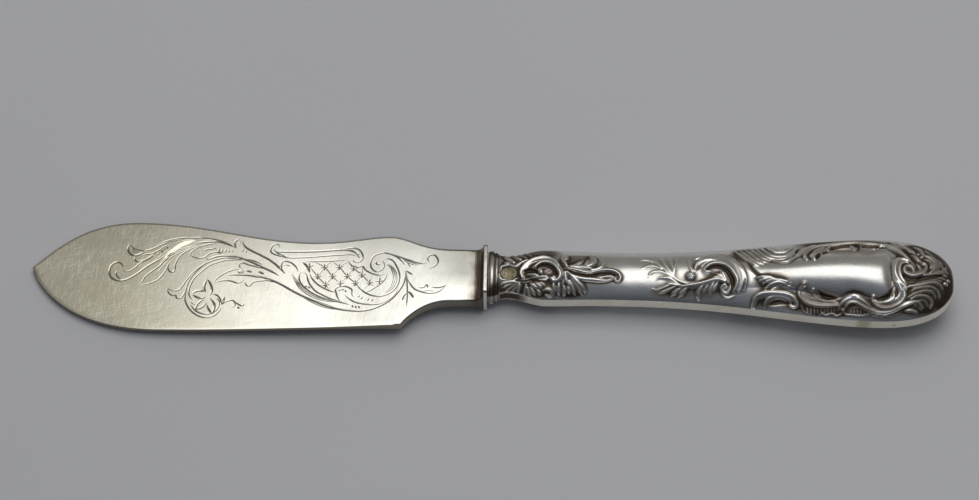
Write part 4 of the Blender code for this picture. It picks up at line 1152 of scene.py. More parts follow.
# Places that were rubbed clean: along, across, half length, half width, share
CLEAN = (
    (22.5, -1.2, 6.0, 2.2, 0.8), (92.0, 0.3, 2.2, 1.6, 0.55), (87.2, 3.0, 1.6, 2.2, 0.5),
    (97.9, 1.4, 1.6, 1.4, 0.5), (94.8, -3.2, 3.0, 1.2, 0.3),
)

# Places where the raised lines are dull too: along, across, half length, half width, share
DULLED = (
    (8.5, -4.7, 8.5, 2.2, 0.5), (8.5, 4.3, 8.0, 2.3, 0.72), (18.5, -4.6, 4.0, 2.0, 0.4),
    (20.0, 2.6, 4.5, 1.8, 0.4), (40.5, -4.9, 6.0, 1.6, 0.4), (47.5, -5.2, 3.0, 1.4, 0.4),
    (57.0, 4.2, 5.0, 2.4, 0.35), (62.0, -7.3, 5.5, 1.5, 0.3), (79.0, -8.6, 12.0, 1.5, 0.72),
    (78.0, 7.2, 12.0, 1.6, 0.4), (78.0, 3.8, 9.5, 2.2, 0.42), (95.5, -5.5, 5.5, 4.0, 0.68),
    (96.5, 1.5, 4.5, 5.0, 0.6), (92.5, -0.5, 4.0, 2.6, 0.48), (71.0, -7.0, 5.5, 2.2, 0.65),
    (71.5, 3.8, 5.0, 2.6, 0.35), (69.3, -6.2, 1.3, 1.5, 0.45), (72.5, -7.4, 3.2, 0.7, 0.45),
    (81.3, -7.2, 2.0, 1.3, 0.6), (76.5, 3.0, 10.0, 1.6, 0.3), (71.0, -6.4, 3.5, 1.4, 0.4),
    (93.5, -6.0, 4.0, 2.6, 0.5), (92.5, 4.2, 3.5, 2.6, 0.5),
)

# A row of beads in the middle scroll
BEAD_ROW = ((51.6, 2.1), (52.7, 1.3), (53.7, 0.3), (54.3, -0.9), (54.6, -2.1), (54.6, -3.2), (54.3, -4.4))
BEAD_PITCH = 0.75
BEAD_RADIUS = 0.34
BEAD_RISE = 0.22

# The fringe along the near frame: a scalloped line
SCALLOPS = (
    (67.6, -8.0), (68.1, -8.7), (68.9, -9.1), (70.2, -9.35), (71.4, -9.5), (72.1, -9.25), (72.8, -9.5),
    (74.2, -9.4), (75.2, -9.7), (76.0, -9.55), (76.6, -9.25), (77.2, -9.6), (78.6, -9.75), (80.4, -9.85),
    (82.0, -9.7), (82.5, -9.45), (83.2, -9.85), (84.8, -9.95), (85.6, -9.7), (86.4, -9.9), (87.6, -9.6),
    (88.6, -9.4), (89.4, -8.9),
)

# Rows of flutes: their first and last place along, the pitches between them, their tool, then points along
# from each place and across
FLUTE_PITCH = 0.72
FLUTES = (
    (8.6, 15.0, 1, "fringe", ((0.0, 5.2), (0.4, 4.4), (1.0, 3.6))),
    (68.9, 75.6, 1, "rib", ((0.0, -8.35), (0.15, -9.3))),
    (78.2, 82.6, 1, "rib", ((0.0, -8.9), (0.05, -9.7))),
    (70.5, 91.0, 2, "fringe", ((0.0, 8.0), (0.2, 8.7))),
)

# How the lines are raised, and how fine the shell's mesh is
RELIEF_STEP = 0.12
RELIEF_MARGIN = 0.1
TAPER_RATE = 3
SOFT_POWER = 1.5
DISH_POWER = 6
SINK_FADE = 0.3
SHARP_SHARE = 0.35
ROW_STEP = 0.165
ROW_SAMPLES = 8001
DOME_COLUMNS = 128
BAND_COLUMNS = 3
ARC_STEPS = 240
LEAST_TURN = 1e-6
LEAST_SIZE = 0.1

# Tarnish: how far below its surroundings a place is dark, close by and further off, how far above them it is
# rubbed bright, and up to which rise it is ground
CLOSE_REACH = 2
CLOSE_DEPTH = 0.09
CLOSE_DARK = 0.6
WIDE_REACH = 5
WIDE_DEPTH = 0.2
WIDE_DARK = 0.5
CREST_RISE = 0.14
GROUND_RISE = 0.05
GROUND_RUN = 0.22
HOLLOW_DARK = 0.85

# The relief fades out at the band and at the end of the butt
RIM_FADE = 0.35
BUTT_FADE = 0.6

# Tarnish at the mouth, in the rings' grooves and on the rings' sides, and painted shade on the band by the
# mouth
RING_GROOVE_WIDTH = 0.2
RING_GROOVE_SEEN = 0.1
RINGS_TO = 2.4
RINGS_RUN = 0.3
RING_SIDE_RUN = 4
RING_SIDE_CLEAR = 0.3
BAND_SHADE_TO = 9.5
BAND_SHADE_RUN = 2.5
PAST_RINGS = (2.3, 2.9)
BAND_SHADE_AT_RINGS = 0.5
BAND_SHADE_PAST_RINGS = 0.6

# How much of a width and of a height the camera sees
CAMERA_ELEVATION = math.radians(58.0)
SEEN_ACROSS = math.sin(CAMERA_ELEVATION)
SEEN_UP = math.cos(CAMERA_ELEVATION)


def swing(s, stations):
    """Half sizes along the handle, swinging evenly between the stations; the last swing starts slowly."""
    size = np.full(s.shape, stations[-1][1])
    for (s0, size0), (s1, size1) in zip(stations, stations[1:]):
        t = np.clip((s - s0) / (s1 - s0), 0, 1)
        if s1 == BUTT_AT:
            t = t**SWELL_EASE
        here = (s >= s0) & (s <= s1)
        size[here] = (size0 + (size1 - size0) * t * t * (3 - 2 * t))[here]
    return size


def handle_sizes(s, inset=0.0):
    """Half widths and half depths of the handle at each s, inside its surface by inset."""
    s = np.asarray(s, float)
    width = swing(s, WIDTH_STATIONS) - inset
    depth = swing(s, DEPTH_STATIONS) - inset
    if inset == 0.0:
        for start, length, rise in RINGS:
            t = np.clip((s - start) / length, 0, 1)
            ring = rise * (1 - np.abs(2 * t - 1) ** RING_FLATNESS)
            width += ring
            depth += ring
    past = np.clip((s - BUTT_AT) / (HANDLE_LENGTH - inset - BUTT_AT), 0, 1)
    rounding = (1 - past**BUTT_FULLNESS) ** (1 / BUTT_FULLNESS)
    return width * rounding, BAND_HEIGHT + (depth - BAND_HEIGHT) * rounding


def handle_rows():
    """Where the shell's mesh is divided along the handle: evenly along its outline."""
    t = np.linspace(0, 1, ROW_SAMPLES)
    s = np.concatenate([BUTT_AT * t[:-1], BUTT_AT + (HANDLE_LENGTH - BUTT_AT) * np.sin(math.pi / 2 * t)])
    width, _ = handle_sizes(s)
    length = np.concatenate([[0], np.cumsum(np.hypot(np.diff(s), np.diff(width)))])
    count = round(length[-1] / ROW_STEP)
    return np.interp(np.linspace(0, length[-1], count), length, s)


class Dome:
    """The handle's surface over the band: a round arc in every row, measured over the arc from its crest."""

    def __init__(self, rows):
        self.rows = rows
        self.width, depth = handle_sizes(rows)
        self.drawn_rise = depth - BAND_HEIGHT
        under_boss = passed(rows, BOSS_EASE) * (1 - BOSS_RECOVERS * passed(rows, BOSS_FALL))
        self.lowered = self.drawn_rise * BOSS_SHARE * under_boss
        self.rise = self.drawn_rise - self.lowered
        self.half_turn = 2 * np.arctan2(self.rise, np.maximum(self.width, LEAST_TURN))
        self.radius = self.width / np.sin(np.maximum(self.half_turn, LEAST_TURN))

    def over(self, s, across):
        """The distance over the dome to a place, given by how far across the handle it seems in front."""
        row = min(np.searchsorted(self.rows, s), len(self.rows) - 1)
        width, radius = max(self.width[row], LEAST_SIZE), max(self.radius[row], LEAST_SIZE)
        share = np.clip(across / width, -1, 1)
        seen = across * SEEN_ACROSS + self.drawn_rise[row] * math.sqrt(1 - share**2) * SEEN_UP
        turn = np.linspace(-1, 1, ARC_STEPS + 1) * self.half_turn[row]
        lift = self.rise[row] - radius * (1 - np.cos(turn))
        return radius * np.interp(seen, radius * np.sin(turn) * SEEN_ACROSS + lift * SEEN_UP, turn)

    def grid(self, columns):
        """Distances over the dome, and the turn round it, for even columns in every row."""
        turn = np.linspace(-1, 1, columns) * self.half_turn[:, None]
        return turn * self.radius[:, None], turn

    def surface(self, columns):
        """Distances over the dome, and its points, for even columns in every row."""
        over, turn = self.grid(columns)
        x = np.repeat(self.rows[:, None], columns, axis=1)
        y = self.radius[:, None] * np.sin(turn)
        z = BAND_HEIGHT + self.rise[:, None] - self.radius[:, None] * (1 - np.cos(turn))
        return over, np.dstack([x, y, z])


def relief_lines():
    """Every raised or sunk line of the handle: the values of its tool, its soft side and its points."""
    groups = (
        MOUTH_RELIEF, NECK_SCROLL_RELIEF, NECK_LEAF_RELIEF, SPRAY_RELIEF, MIDDLE_SCROLL_RELIEF,
        FEATHER_RELIEF, FRAME_RELIEF, BUTT_RELIEF, GROUND_RELIEF,
    )
    lines = [(*TOOLS[tool], side, points) for group in groups for tool, side, *points in group]

    def ball(s, across, radius, rise):
        lines.append((2 * radius, rise, 1.0, 1.0, 0.0, 0.0, "-", [(s, across)]))

    for bead in BEADS:
        ball(*bead)
    for point in smooth_line(BEAD_ROW, BEAD_PITCH):
        ball(*point, BEAD_RADIUS, BEAD_RISE)
    ball(*KNOB, KNOB_RADIUS, KNOB_RISE)
    lines.append((*TOOLS["rib"], "-", SCALLOPS))
    for first, last, pitches, tool, points in FLUTES:
        for s in np.arange(first, last, pitches * FLUTE_PITCH):
            lines.append((*TOOLS[tool], "-", [(s + along, across) for along, across in points]))
    return lines


def stamped_relief(dome, over):
    """The relief's height at each place of the dome, and how far each place lies in a hollow."""
    rows, columns = over.shape
    height = np.zeros((rows, columns))
    sunk = np.zeros((rows, columns))
    hollow = np.zeros((rows, columns))
    for width, rise, first, last, soft, dish, side, points in relief_lines():
        line = smooth_line([(s, dome.over(s, across)) for s, across in points], RELIEF_STEP)
        along = along_line(line)
        from_first = first + (1 - first) * ease(along * TAPER_RATE)
        from_last = last + (1 - last) * ease((1 - along) * TAPER_RATE)
        taper = np.minimum(from_first, from_last)
        reach = max(width / 2, soft) + RELIEF_MARGIN
        low = np.searchsorted(dome.rows, line[:, 0].min() - reach)
        high = np.searchsorted(dome.rows, line[:, 0].max() + reach)
        block = np.s_[low:high]
        s = np.repeat(dome.rows[block, None], columns, axis=1)
        near = (over[block] > line[:, 1].min() - reach) & (over[block] < line[:, 1].max() + reach)
        if not near.any():
            continue
        offset = np.stack([s[near], over[block][near]], axis=1)[:, None, :] - line
        gap = np.hypot(offset[:, :, 0], offset[:, :, 1])
        nearest = gap.argmin(axis=1)
        pick = np.arange(len(nearest))
        gap = gap[pick, nearest]
        share = np.clip(gap / (width / 2 * taper[nearest]), 0, 1)
        share = (1 - share**DISH_POWER) * (1 - dish * (1 - share**2)) if dish else 1 - share**2
        if rise < 0:
            sunk[block][near] = np.maximum(sunk[block][near], -rise * share)
            hollow[block][near] = np.maximum(hollow[block][near], share)
            continue
        if side != "-":
            to_left = (offset[pick, nearest] * side_of_line(line)[nearest]).sum(axis=1)
            slope = np.clip(1 - gap / (soft * taper[nearest]), 0, 1) ** SOFT_POWER
            fits = {"L": to_left > 0, "R": to_left < 0, "B": True}[side]
            share = np.where(fits, slope, share)
        height[block][near] = np.maximum(height[block][near], rise * share)
    return height - sunk * np.clip(1 - height / SINK_FADE, 0, 1), hollow


def oval_reach(dome, over, oval):
    """How far each part of the dome lies from the middle of an oval, in shares of its half sizes."""
    s, across, half_length, half_width = oval
    along = (dome.rows[:, None] - s) / half_length
    return np.sqrt(along**2 + ((over - dome.over(s, across)) / half_width) ** 2)


def swellings(dome, over):
    """Soft swellings under the relief and the plain cushion between the frames."""
    height = np.zeros(over.shape)
    for *oval, rise in SWELLS:
        height += rise * ease(1 - oval_reach(dome, over, oval))
    s = dome.rows[:, None]
    boss_along, boss_across = BOSS
    middle = np.array([dome.over(row, boss_across) for row in dome.rows])[:, None]
    start = ease((s - BOSS_START) / BOSS_RUN)
    end = np.clip(1 - (np.maximum(s - boss_along, 0) / BOSS_END) ** BOSS_END_POWER, 0, 1)
    rise = dome.lowered[:, None] + BOSS_RISE * start * (1 - BOSS_DROP * passed(s, BOSS_FALL))
    half_width = BOSS_HALF_WIDTH * (BOSS_WAIST + (1 - BOSS_WAIST) * passed(s, BOSS_WIDENS))
    across = ((over - middle) / half_width) ** 2
    return height + rise * end * np.clip(1 - across, 0, 1)


def soften(field, reach):
    """The field averaged over reach rows and columns to each side, twice."""
    for axis in (0, 1, 0, 1):
        size = [(0, 0), (0, 0)]
        size[axis] = (reach + 1, reach)
        total = np.cumsum(np.pad(field, size, mode="edge"), axis=axis)
        count = 2 * reach + 1
        first = np.take(total, np.arange(field.shape[axis]), axis=axis)
        last = np.take(total, np.arange(field.shape[axis]) + count, axis=axis)
        field = (last - first) / count
    return field


def set_ovals(dome, over, height):
    """Flat ovals set into the relief; returns how far each place lies on one and in the groove round it."""
    on_oval = np.zeros(over.shape)
    groove = np.zeros(over.shape)
    for *oval, rise in OVALS:
        reach = oval_reach(dome, over, oval)
        inside = ease((OVAL_BORDER - reach) / OVAL_BEVEL)
        height[:] = height * (1 - inside) + rise * inside
        on_oval = np.maximum(on_oval, inside)
        groove = np.maximum(groove, np.exp(-(((reach - OVAL_GROOVE_AT) / OVAL_GROOVE_WIDTH) ** 2)))
    return on_oval, groove


def set_knob_seeds(dome, over, height):
    """Small balls round the knob and one on its middle."""
    s, across = KNOB
    t = dome.over(s, across)
    seeds = [(s, t)]
    for turn in np.arange(KNOB_SEEDS) * 2 * math.pi / KNOB_SEEDS:
        seeds.append((s + KNOB_SEED_RING * math.cos(turn), t + KNOB_SEED_RING * math.sin(turn)))
    for seed_s, seed_t in seeds:
        reach = np.hypot(dome.rows[:, None] - seed_s, over - seed_t) / KNOB_SEED_RADIUS
        height += KNOB_SEED_RISE * np.clip(1 - reach**2, 0, 1)


def patches(dome, over, places):
    """How far each part of the dome lies in one of the places, softly at their borders."""
    found = np.zeros(over.shape)
    for *oval, share in places:
        inside = ease((PATCH_BORDER - oval_reach(dome, over, oval)) / PATCH_RUN)
        found = np.maximum(found, share * inside)
    return found


def shell_surface():
    """The stamped surface of one shell as a grid of points, with its tarnish and painted shade, rubbed places
    and dull ovals.
    """
    dome = Dome(handle_rows())
    over, surface = dome.surface(DOME_COLUMNS)
    s = surface[:, :, 0]
    normal = np.cross(np.gradient(surface, axis=0), np.gradient(surface, axis=1))
    normal /= np.maximum(np.linalg.norm(normal, axis=2), TINY)[:, :, None]
    relief, hollow = stamped_relief(dome, over)
    set_knob_seeds(dome, over, relief)
    on_oval, oval_groove = set_ovals(dome, over, relief)
    relief = SHARP_SHARE * relief + (1 - SHARP_SHARE) * soften(relief, 1)
    wide = soften(relief, WIDE_REACH)
    cavity = np.clip((soften(relief, CLOSE_REACH) - relief) / CLOSE_DEPTH, 0, 1) * CLOSE_DARK
    cavity = cavity + np.clip((wide - relief) / WIDE_DEPTH, 0, 1) * WIDE_DARK
    crest = np.clip((relief - wide) / CREST_RISE, 0, 1)
    ground = np.clip(1 - (relief - GROUND_RISE) / GROUND_RUN, 0, 1) * (1 - crest)
    edge = np.minimum(over - over[:, :1], over[:, -1:] - over)
    fade = ease(edge / RIM_FADE) * np.clip((HANDLE_LENGTH - s) / BUTT_FADE, 0, 1)
    tarnish = patches(dome, over, TARNISH) * (1 - patches(dome, over, CLEAN))
    dulled = patches(dome, over, DULLED)
    # Dark share: tarnish in the hollows and ground, and painted shade from the shade lines
    dark = np.clip(cavity + hollow * HOLLOW_DARK + tarnish * ground, 0, 1)
    patina_and_shade = np.maximum(dark, dulled) * (1 - on_oval)
    ring_sides = np.clip(np.abs(over) / RING_SIDE_RUN - RING_SIDE_CLEAR, 0, 1)
    patina_and_shade += RING_TARNISH * ease((RINGS_TO - s) / RINGS_RUN) * ring_sides
    grooves = sum(np.exp(-(((s - groove) / RING_GROOVE_WIDTH) ** 2)) for groove in RING_GROOVES)
    patina_and_shade = np.maximum(patina_and_shade, np.maximum(np.clip(grooves, 0, 1), OVAL_GROOVE_DARK * oval_groove))
    patina_and_shade = patina_and_shade * np.maximum(fade, grooves > RING_GROOVE_SEEN)
    surface += normal * ((relief + swellings(dome, over)) * fade)[:, :, None]
    return dome, surface, patina_and_shade, crest * fade * (1 - dulled), on_oval


def shell_mesh_data():
    """Points, faces and material values of one shell: its stamped outside, its rims and its plain inside."""
    dome, surface, patina_and_shade, rubbed, dull = shell_surface()
    rows = len(dome.rows)
    band = np.linspace(0, BAND_HEIGHT, BAND_COLUMNS + 1)[:-1]
    near_side = np.array([[(s, -a, z) for z in band] for s, a in zip(dome.rows, dome.width)])
    far_side = np.array([[(s, a, z) for z in band[::-1]] for s, a in zip(dome.rows, dome.width)])
    outside = np.concatenate([near_side, surface, far_side], axis=1)
    inner_rows = np.minimum(dome.rows, HANDLE_LENGTH - SHELL_WALL)
    width, depth = handle_sizes(inner_rows, SHELL_WALL)
    inner_rise = np.maximum(depth - BAND_HEIGHT - dome.lowered, 0)
    inside = [np.column_stack([inner_rows, width, np.zeros(rows)])]
    for share in np.linspace(1, -1, INNER_COLUMNS):
        height = BAND_HEIGHT + inner_rise * (1 - share**2)
        inside.append(np.column_stack([inner_rows, width * share, height]))
    inside.append(np.column_stack([inner_rows, -width, np.zeros(rows)]))
    loop = np.concatenate([outside, np.stack(inside, axis=1)], axis=1)
    columns = loop.shape[1]
    values = np.zeros((3, rows, columns))
    shown = slice(BAND_COLUMNS, BAND_COLUMNS + DOME_COLUMNS)
    values[:, :, shown] = patina_and_shade, rubbed, dull
    # Painted shade on the band by the mouth, darkest just past the rings
    band_shade_at_mouth = BAND_SHADE_AT_RINGS + BAND_SHADE_PAST_RINGS * passed(dome.rows, PAST_RINGS)
    band_shade_at_mouth = ease((BAND_SHADE_TO - dome.rows) / BAND_SHADE_RUN) * band_shade_at_mouth
    values[0, :, :BAND_COLUMNS] = band_shade_at_mouth[:, None]
    values[0, :, shown.stop:shown.stop + BAND_COLUMNS] = band_shade_at_mouth[:, None]
    return loop.reshape(-1, 3), faces_round(rows, columns), values.reshape(3, -1)


def make_shells():
    """Both shells from one die: the back one is turned half round the knife's length."""
    verts, faces, values = shell_mesh_data()
    shells = []
    for name, turn in (("stamped_front_shell", 1), ("stamped_back_shell", -1)):
        piece = new_piece(name, verts * (1, turn, turn), faces)
        for value_name, numbers in zip(("patina_and_shade", "rubbed", "dull"), values):
            keep_values(piece, value_name, numbers)
        tidy_piece(piece)
        four_sided = [len(face.vertices) <= 4 for face in piece.data.polygons]
        piece.data.polygons.foreach_set("use_smooth", four_sided)
        sharpen_band(piece)
        shells.append(piece)
    return shells


def sharpen_band(piece):
    """Marks the seam and both borders of the plain band as sharp edges."""
    height = np.abs(mesh_points(piece)[:, 2])
    ends = np.zeros(len(piece.data.edges) * 2, int)
    piece.data.edges.foreach_get("vertices", ends)
    ends = height[ends.reshape(-1, 2)]
    at_seam = (ends < SEAM_WITHIN).all(axis=1)
    at_border = (np.abs(ends - BAND_HEIGHT) < SEAM_WITHIN).all(axis=1)
    layer = piece.data.attributes.new("sharp_edge", "BOOLEAN", "EDGE")
    layer.data.foreach_set("value", at_seam | at_border)


def make_resin():
    """The resin inside the shells, with the room for the tang."""
    rows = np.linspace(RESIN_START, HANDLE_LENGTH - SHELL_WALL - 2 * RESIN_GAP, RESIN_ROWS)
    width, depth = handle_sizes(rows, SHELL_WALL + RESIN_GAP)
    rise = np.maximum(depth - BAND_HEIGHT - Dome(rows).lowered, 0)
    ring = []
    for up in (1, -1):
        for share in up * np.linspace(1, -1, RESIN_COLUMNS):
            height = up * (BAND_HEIGHT - RESIN_GAP + rise * (1 - share**2))
            ring.append(np.column_stack([rows, width * share, height]))
    columns = len(ring)
    verts = np.stack(ring, axis=1).reshape(-1, 3)
    faces = faces_round(RESIN_ROWS, columns)
    faces.append(tuple(range((RESIN_ROWS - 1) * columns, RESIN_ROWS * columns))[::-1])
    piece = new_piece("filling", verts, faces)
    tidy_piece(piece)
    cut_tang_room(piece)
    return piece


# Materials

# Colours of the finishes
BLADE_PALE = (0.88, 0.865, 0.80, 1)
BLADE_MOTTLE = (0.80, 0.775, 0.69, 1)
BLADE_TIP_TARNISH_AND_SHADE = (0.68, 0.635, 0.475, 1)
BLADE_FAR_RIM_SHADE = (0.50, 0.47, 0.39, 1)
BLADE_NECK_SHADE = (0.44, 0.425, 0.375, 1)
BLADE_SCRATCH = (1.0, 0.97, 0.84, 1)
BLADE_RIM_HIGHLIGHT = (1.0, 0.98, 0.90, 1)
BLADE_STAIN_AND_SHADE = (0.17, 0.11, 0.065, 1)
BLADE_CUT = (0.19, 0.155, 0.105, 1)
BLADE_SIDE_SHADE = (0.26, 0.205, 0.135, 1)
NECK_SIDE_SHADE = (0.13, 0.105, 0.075, 1)
PLATE_PALE = (0.88, 0.865, 0.81, 1)
PLATE_DULL = (0.72, 0.69, 0.61, 1)
PLATE_FAR_SHADE = (0.30, 0.285, 0.25, 1)
HANDLE_PALE = (0.86, 0.845, 0.81, 1)
HANDLE_CLOUD = (0.80, 0.78, 0.73, 1)
HANDLE_WARM = (0.76, 0.705, 0.62, 1)
HANDLE_DARK = (0.105, 0.076, 0.053, 1)
HANDLE_RUBBED = (0.90, 0.875, 0.825, 1)
MOUTH_OVAL = (0.30, 0.26, 0.165, 1)
SCROLL_OVAL = (0.38, 0.31, 0.29, 1)
BAND_CREAM_SHEEN = (0.98, 0.945, 0.83, 1)
BAND_CLOUD_SHEEN = (0.90, 0.85, 0.73, 1)
BAND_PIT = (0.16, 0.13, 0.09, 1)
BAND_SPOT = (0.42, 0.36, 0.22, 1)
IRON = ((0.20, 0.18, 0.16, 1), (0.26, 0.24, 0.22, 1))
RESIN = ((0.06, 0.03, 0.018, 1), (0.09, 0.05, 0.03, 1))
FLOOR = ((0.92, 0.915, 0.93, 1), (0.95, 0.945, 0.96, 1))

# Where the blade's and the plate's finishes, painted shade and painted highlight change, along and across, in
# metres in the model's frame
TIP_ALONG = (-0.040, -0.080)
# Painted shade along the far rim, towards the tip
FAR_RIM_ALONG = (-0.060, -0.085)
FAR_RIM_ACROSS = (0.003, 0.014)
# Painted shade on the upper face by the neck
NECK_ALONG = (-0.018, -0.0065)
NECK_ACROSS = (-0.0022, 0.0012)
# Painted shade on the side, darker towards the neck
NECK_SIDE_ALONG = (-0.018, -0.008)
WEAR_ALONG = (-0.020, -0.075)
RIM_HIGHLIGHT_ALONG = (-0.035, -0.060)
# Brown stain by the plate, partly painted shade, reaching further along on the near side
STAIN_SHADE_FROM_ROOT = (0.0031, 0.0005)
STAIN_SHADE_RAGGED = (-0.0006, 0.0006)
STAIN_SHADE_ACROSS = (0.0, -0.006)
STAIN_SHADE_LOWER = 0.0010
PLATE_SHADE_ACROSS = (-0.001, 0.007)

# The same on the handle: between its two ovals, then the soft border of its plain band in millimetres, and
# where the band and the dull spot on its near side lie, in metres from the mouth
OVALS_ALONG = (0.006, 0.010)
BAND_BORDER = 0.03
BAND_FROM = (0.0065, 0.010)
SPOT_AT = 0.0812
SPOT_REACH = (0.0008, 0.0019)
SPOT_SIDE = (0.002, -0.002)

# Fine strokes: their turn, their length and width in metres, how much they cover and their detail
STREAKS = ((1.25, 0.0032, 0.00036, 0.62, 2.0), (1.62, 0.0026, 0.00030, 0.58, 2.0))
SCRATCHES = ((1.42, 0.0026, 0.00024, 0.52, 1.0), (0.30, 0.005, 0.00024, 0.44, 1.0))
HANDLE_MARKS = ((0.1, 0.008, 0.0002, 0.5, 1.0), (-0.3, 0.006, 0.0002, 0.5, 1.0))
STROKE_LEVELS = (0.72, 0.80)
STROKE_COVER = 0.3
STROKE_ROUGHNESS = 0.4


def feed(tree, socket, value):
    """Links another node's socket to this one, or sets its value."""
    if isinstance(value, bpy.types.NodeSocket):
        tree.links.new(value, socket)
    else:
        socket.default_value = value


def add_node(tree, kind, settings=None, **inputs):
    """A new node with its settings and inputs; an input named i3 is the fourth socket."""
    node = tree.nodes.new(kind)
    for key, value in (settings or {}).items():
        setattr(node, key, value)
    for key, value in inputs.items():
        socket = node.inputs[int(key[1:])] if key[1:].isdigit() else node.inputs[key]
        feed(tree, socket, value)
    return node


class Finish:
    """A material's nodes, with short ways to add and join them."""

    def __init__(self, name):
        self.material = bpy.data.materials.new(name)
        self.material.use_nodes = True
        self.tree = self.material.node_tree
        self.shader = self.tree.nodes["Principled BSDF"]
        self.coords = self.add("ShaderNodeTexCoord").outputs["Object"]

    def add(self, kind, settings=None, **inputs):
        """A new node of this material."""
        return add_node(self.tree, kind, settings, **inputs)

    def noise(self, scale, detail, roughness=0.5, coords=None):
        """Soft clouds: how many in a metre, and how fine they are."""
        coords = coords or self.coords
        made = self.add("ShaderNodeTexNoise", Vector=coords, Scale=scale, Detail=detail, Roughness=roughness)
        return made.outputs["Fac"]

    def strokes(self, turn, length, width, cover, detail):
        """Fine straight strokes, turned in the knife's plane."""
        mapping = self.add(
            "ShaderNodeMapping", {"vector_type": "TEXTURE"},
            Vector=self.coords, Rotation=(0, 0, turn), Scale=(length, width, length),
        )
        low, high = (level - STROKE_COVER * cover for level in STROKE_LEVELS)
        return self.spread(self.noise(1.0, detail, STROKE_ROUGHNESS, mapping.outputs[0]), low, high)

    def crossed(self, first, second):
        """Two sets of strokes over each other."""
        return self.larger(self.strokes(*first), self.strokes(*second))

    def place(self):
        """Where a point lies along, across and over the knife, in metres."""
        return self.add("ShaderNodeSeparateXYZ", Vector=self.coords).outputs

    def spread(self, value, low, high, to_low=0.0, to_high=1.0):
        """The value from low to high, spread over another range."""
        node = self.add("ShaderNodeMapRange", i0=value, i1=low, i2=high, i3=to_low, i4=to_high)
        return node.outputs[0]

    def mix(self, share, first, second, blend="MIX"):
        """The first colour with this share of the second over it."""
        settings = {"data_type": "RGBA", "blend_type": blend}
        return self.add("ShaderNodeMix", settings, i0=share, i6=first, i7=second).outputs[2]

    def math(self, operation, first, second=0.0):
        return self.add("ShaderNodeMath", {"operation": operation}, i0=first, i1=second).outputs[0]

    def times(self, first, second):
        return self.math("MULTIPLY", first, second)

    def plus(self, first, second):
        return self.math("ADD", first, second)

    def larger(self, first, second):
        return self.math("MAXIMUM", first, second)

    def gap(self, value, middle):
        """How far the value lies from the middle, to either side."""
        return self.math("ABSOLUTE", self.math("SUBTRACT", value, middle))

    def value_of(self, name):
        """The numbers that keep_values stored for each point."""
        return self.add("ShaderNodeAttribute", {"attribute_name": name}).outputs["Fac"]

    def bump(self, height, strength, distance):
        """Makes the surface look uneven; the distance is in metres."""
        node = self.add("ShaderNodeBump", Height=height, Strength=strength, Distance=distance)
        feed(self.tree, self.shader.inputs["Normal"], node.outputs[0])

    def set(self, **inputs):
        """Feeds the shader's own inputs; Base_Color is the one called Base Color."""
        for key, value in inputs.items():
            feed(self.tree, self.shader.inputs[key.replace("_", " ")], value)


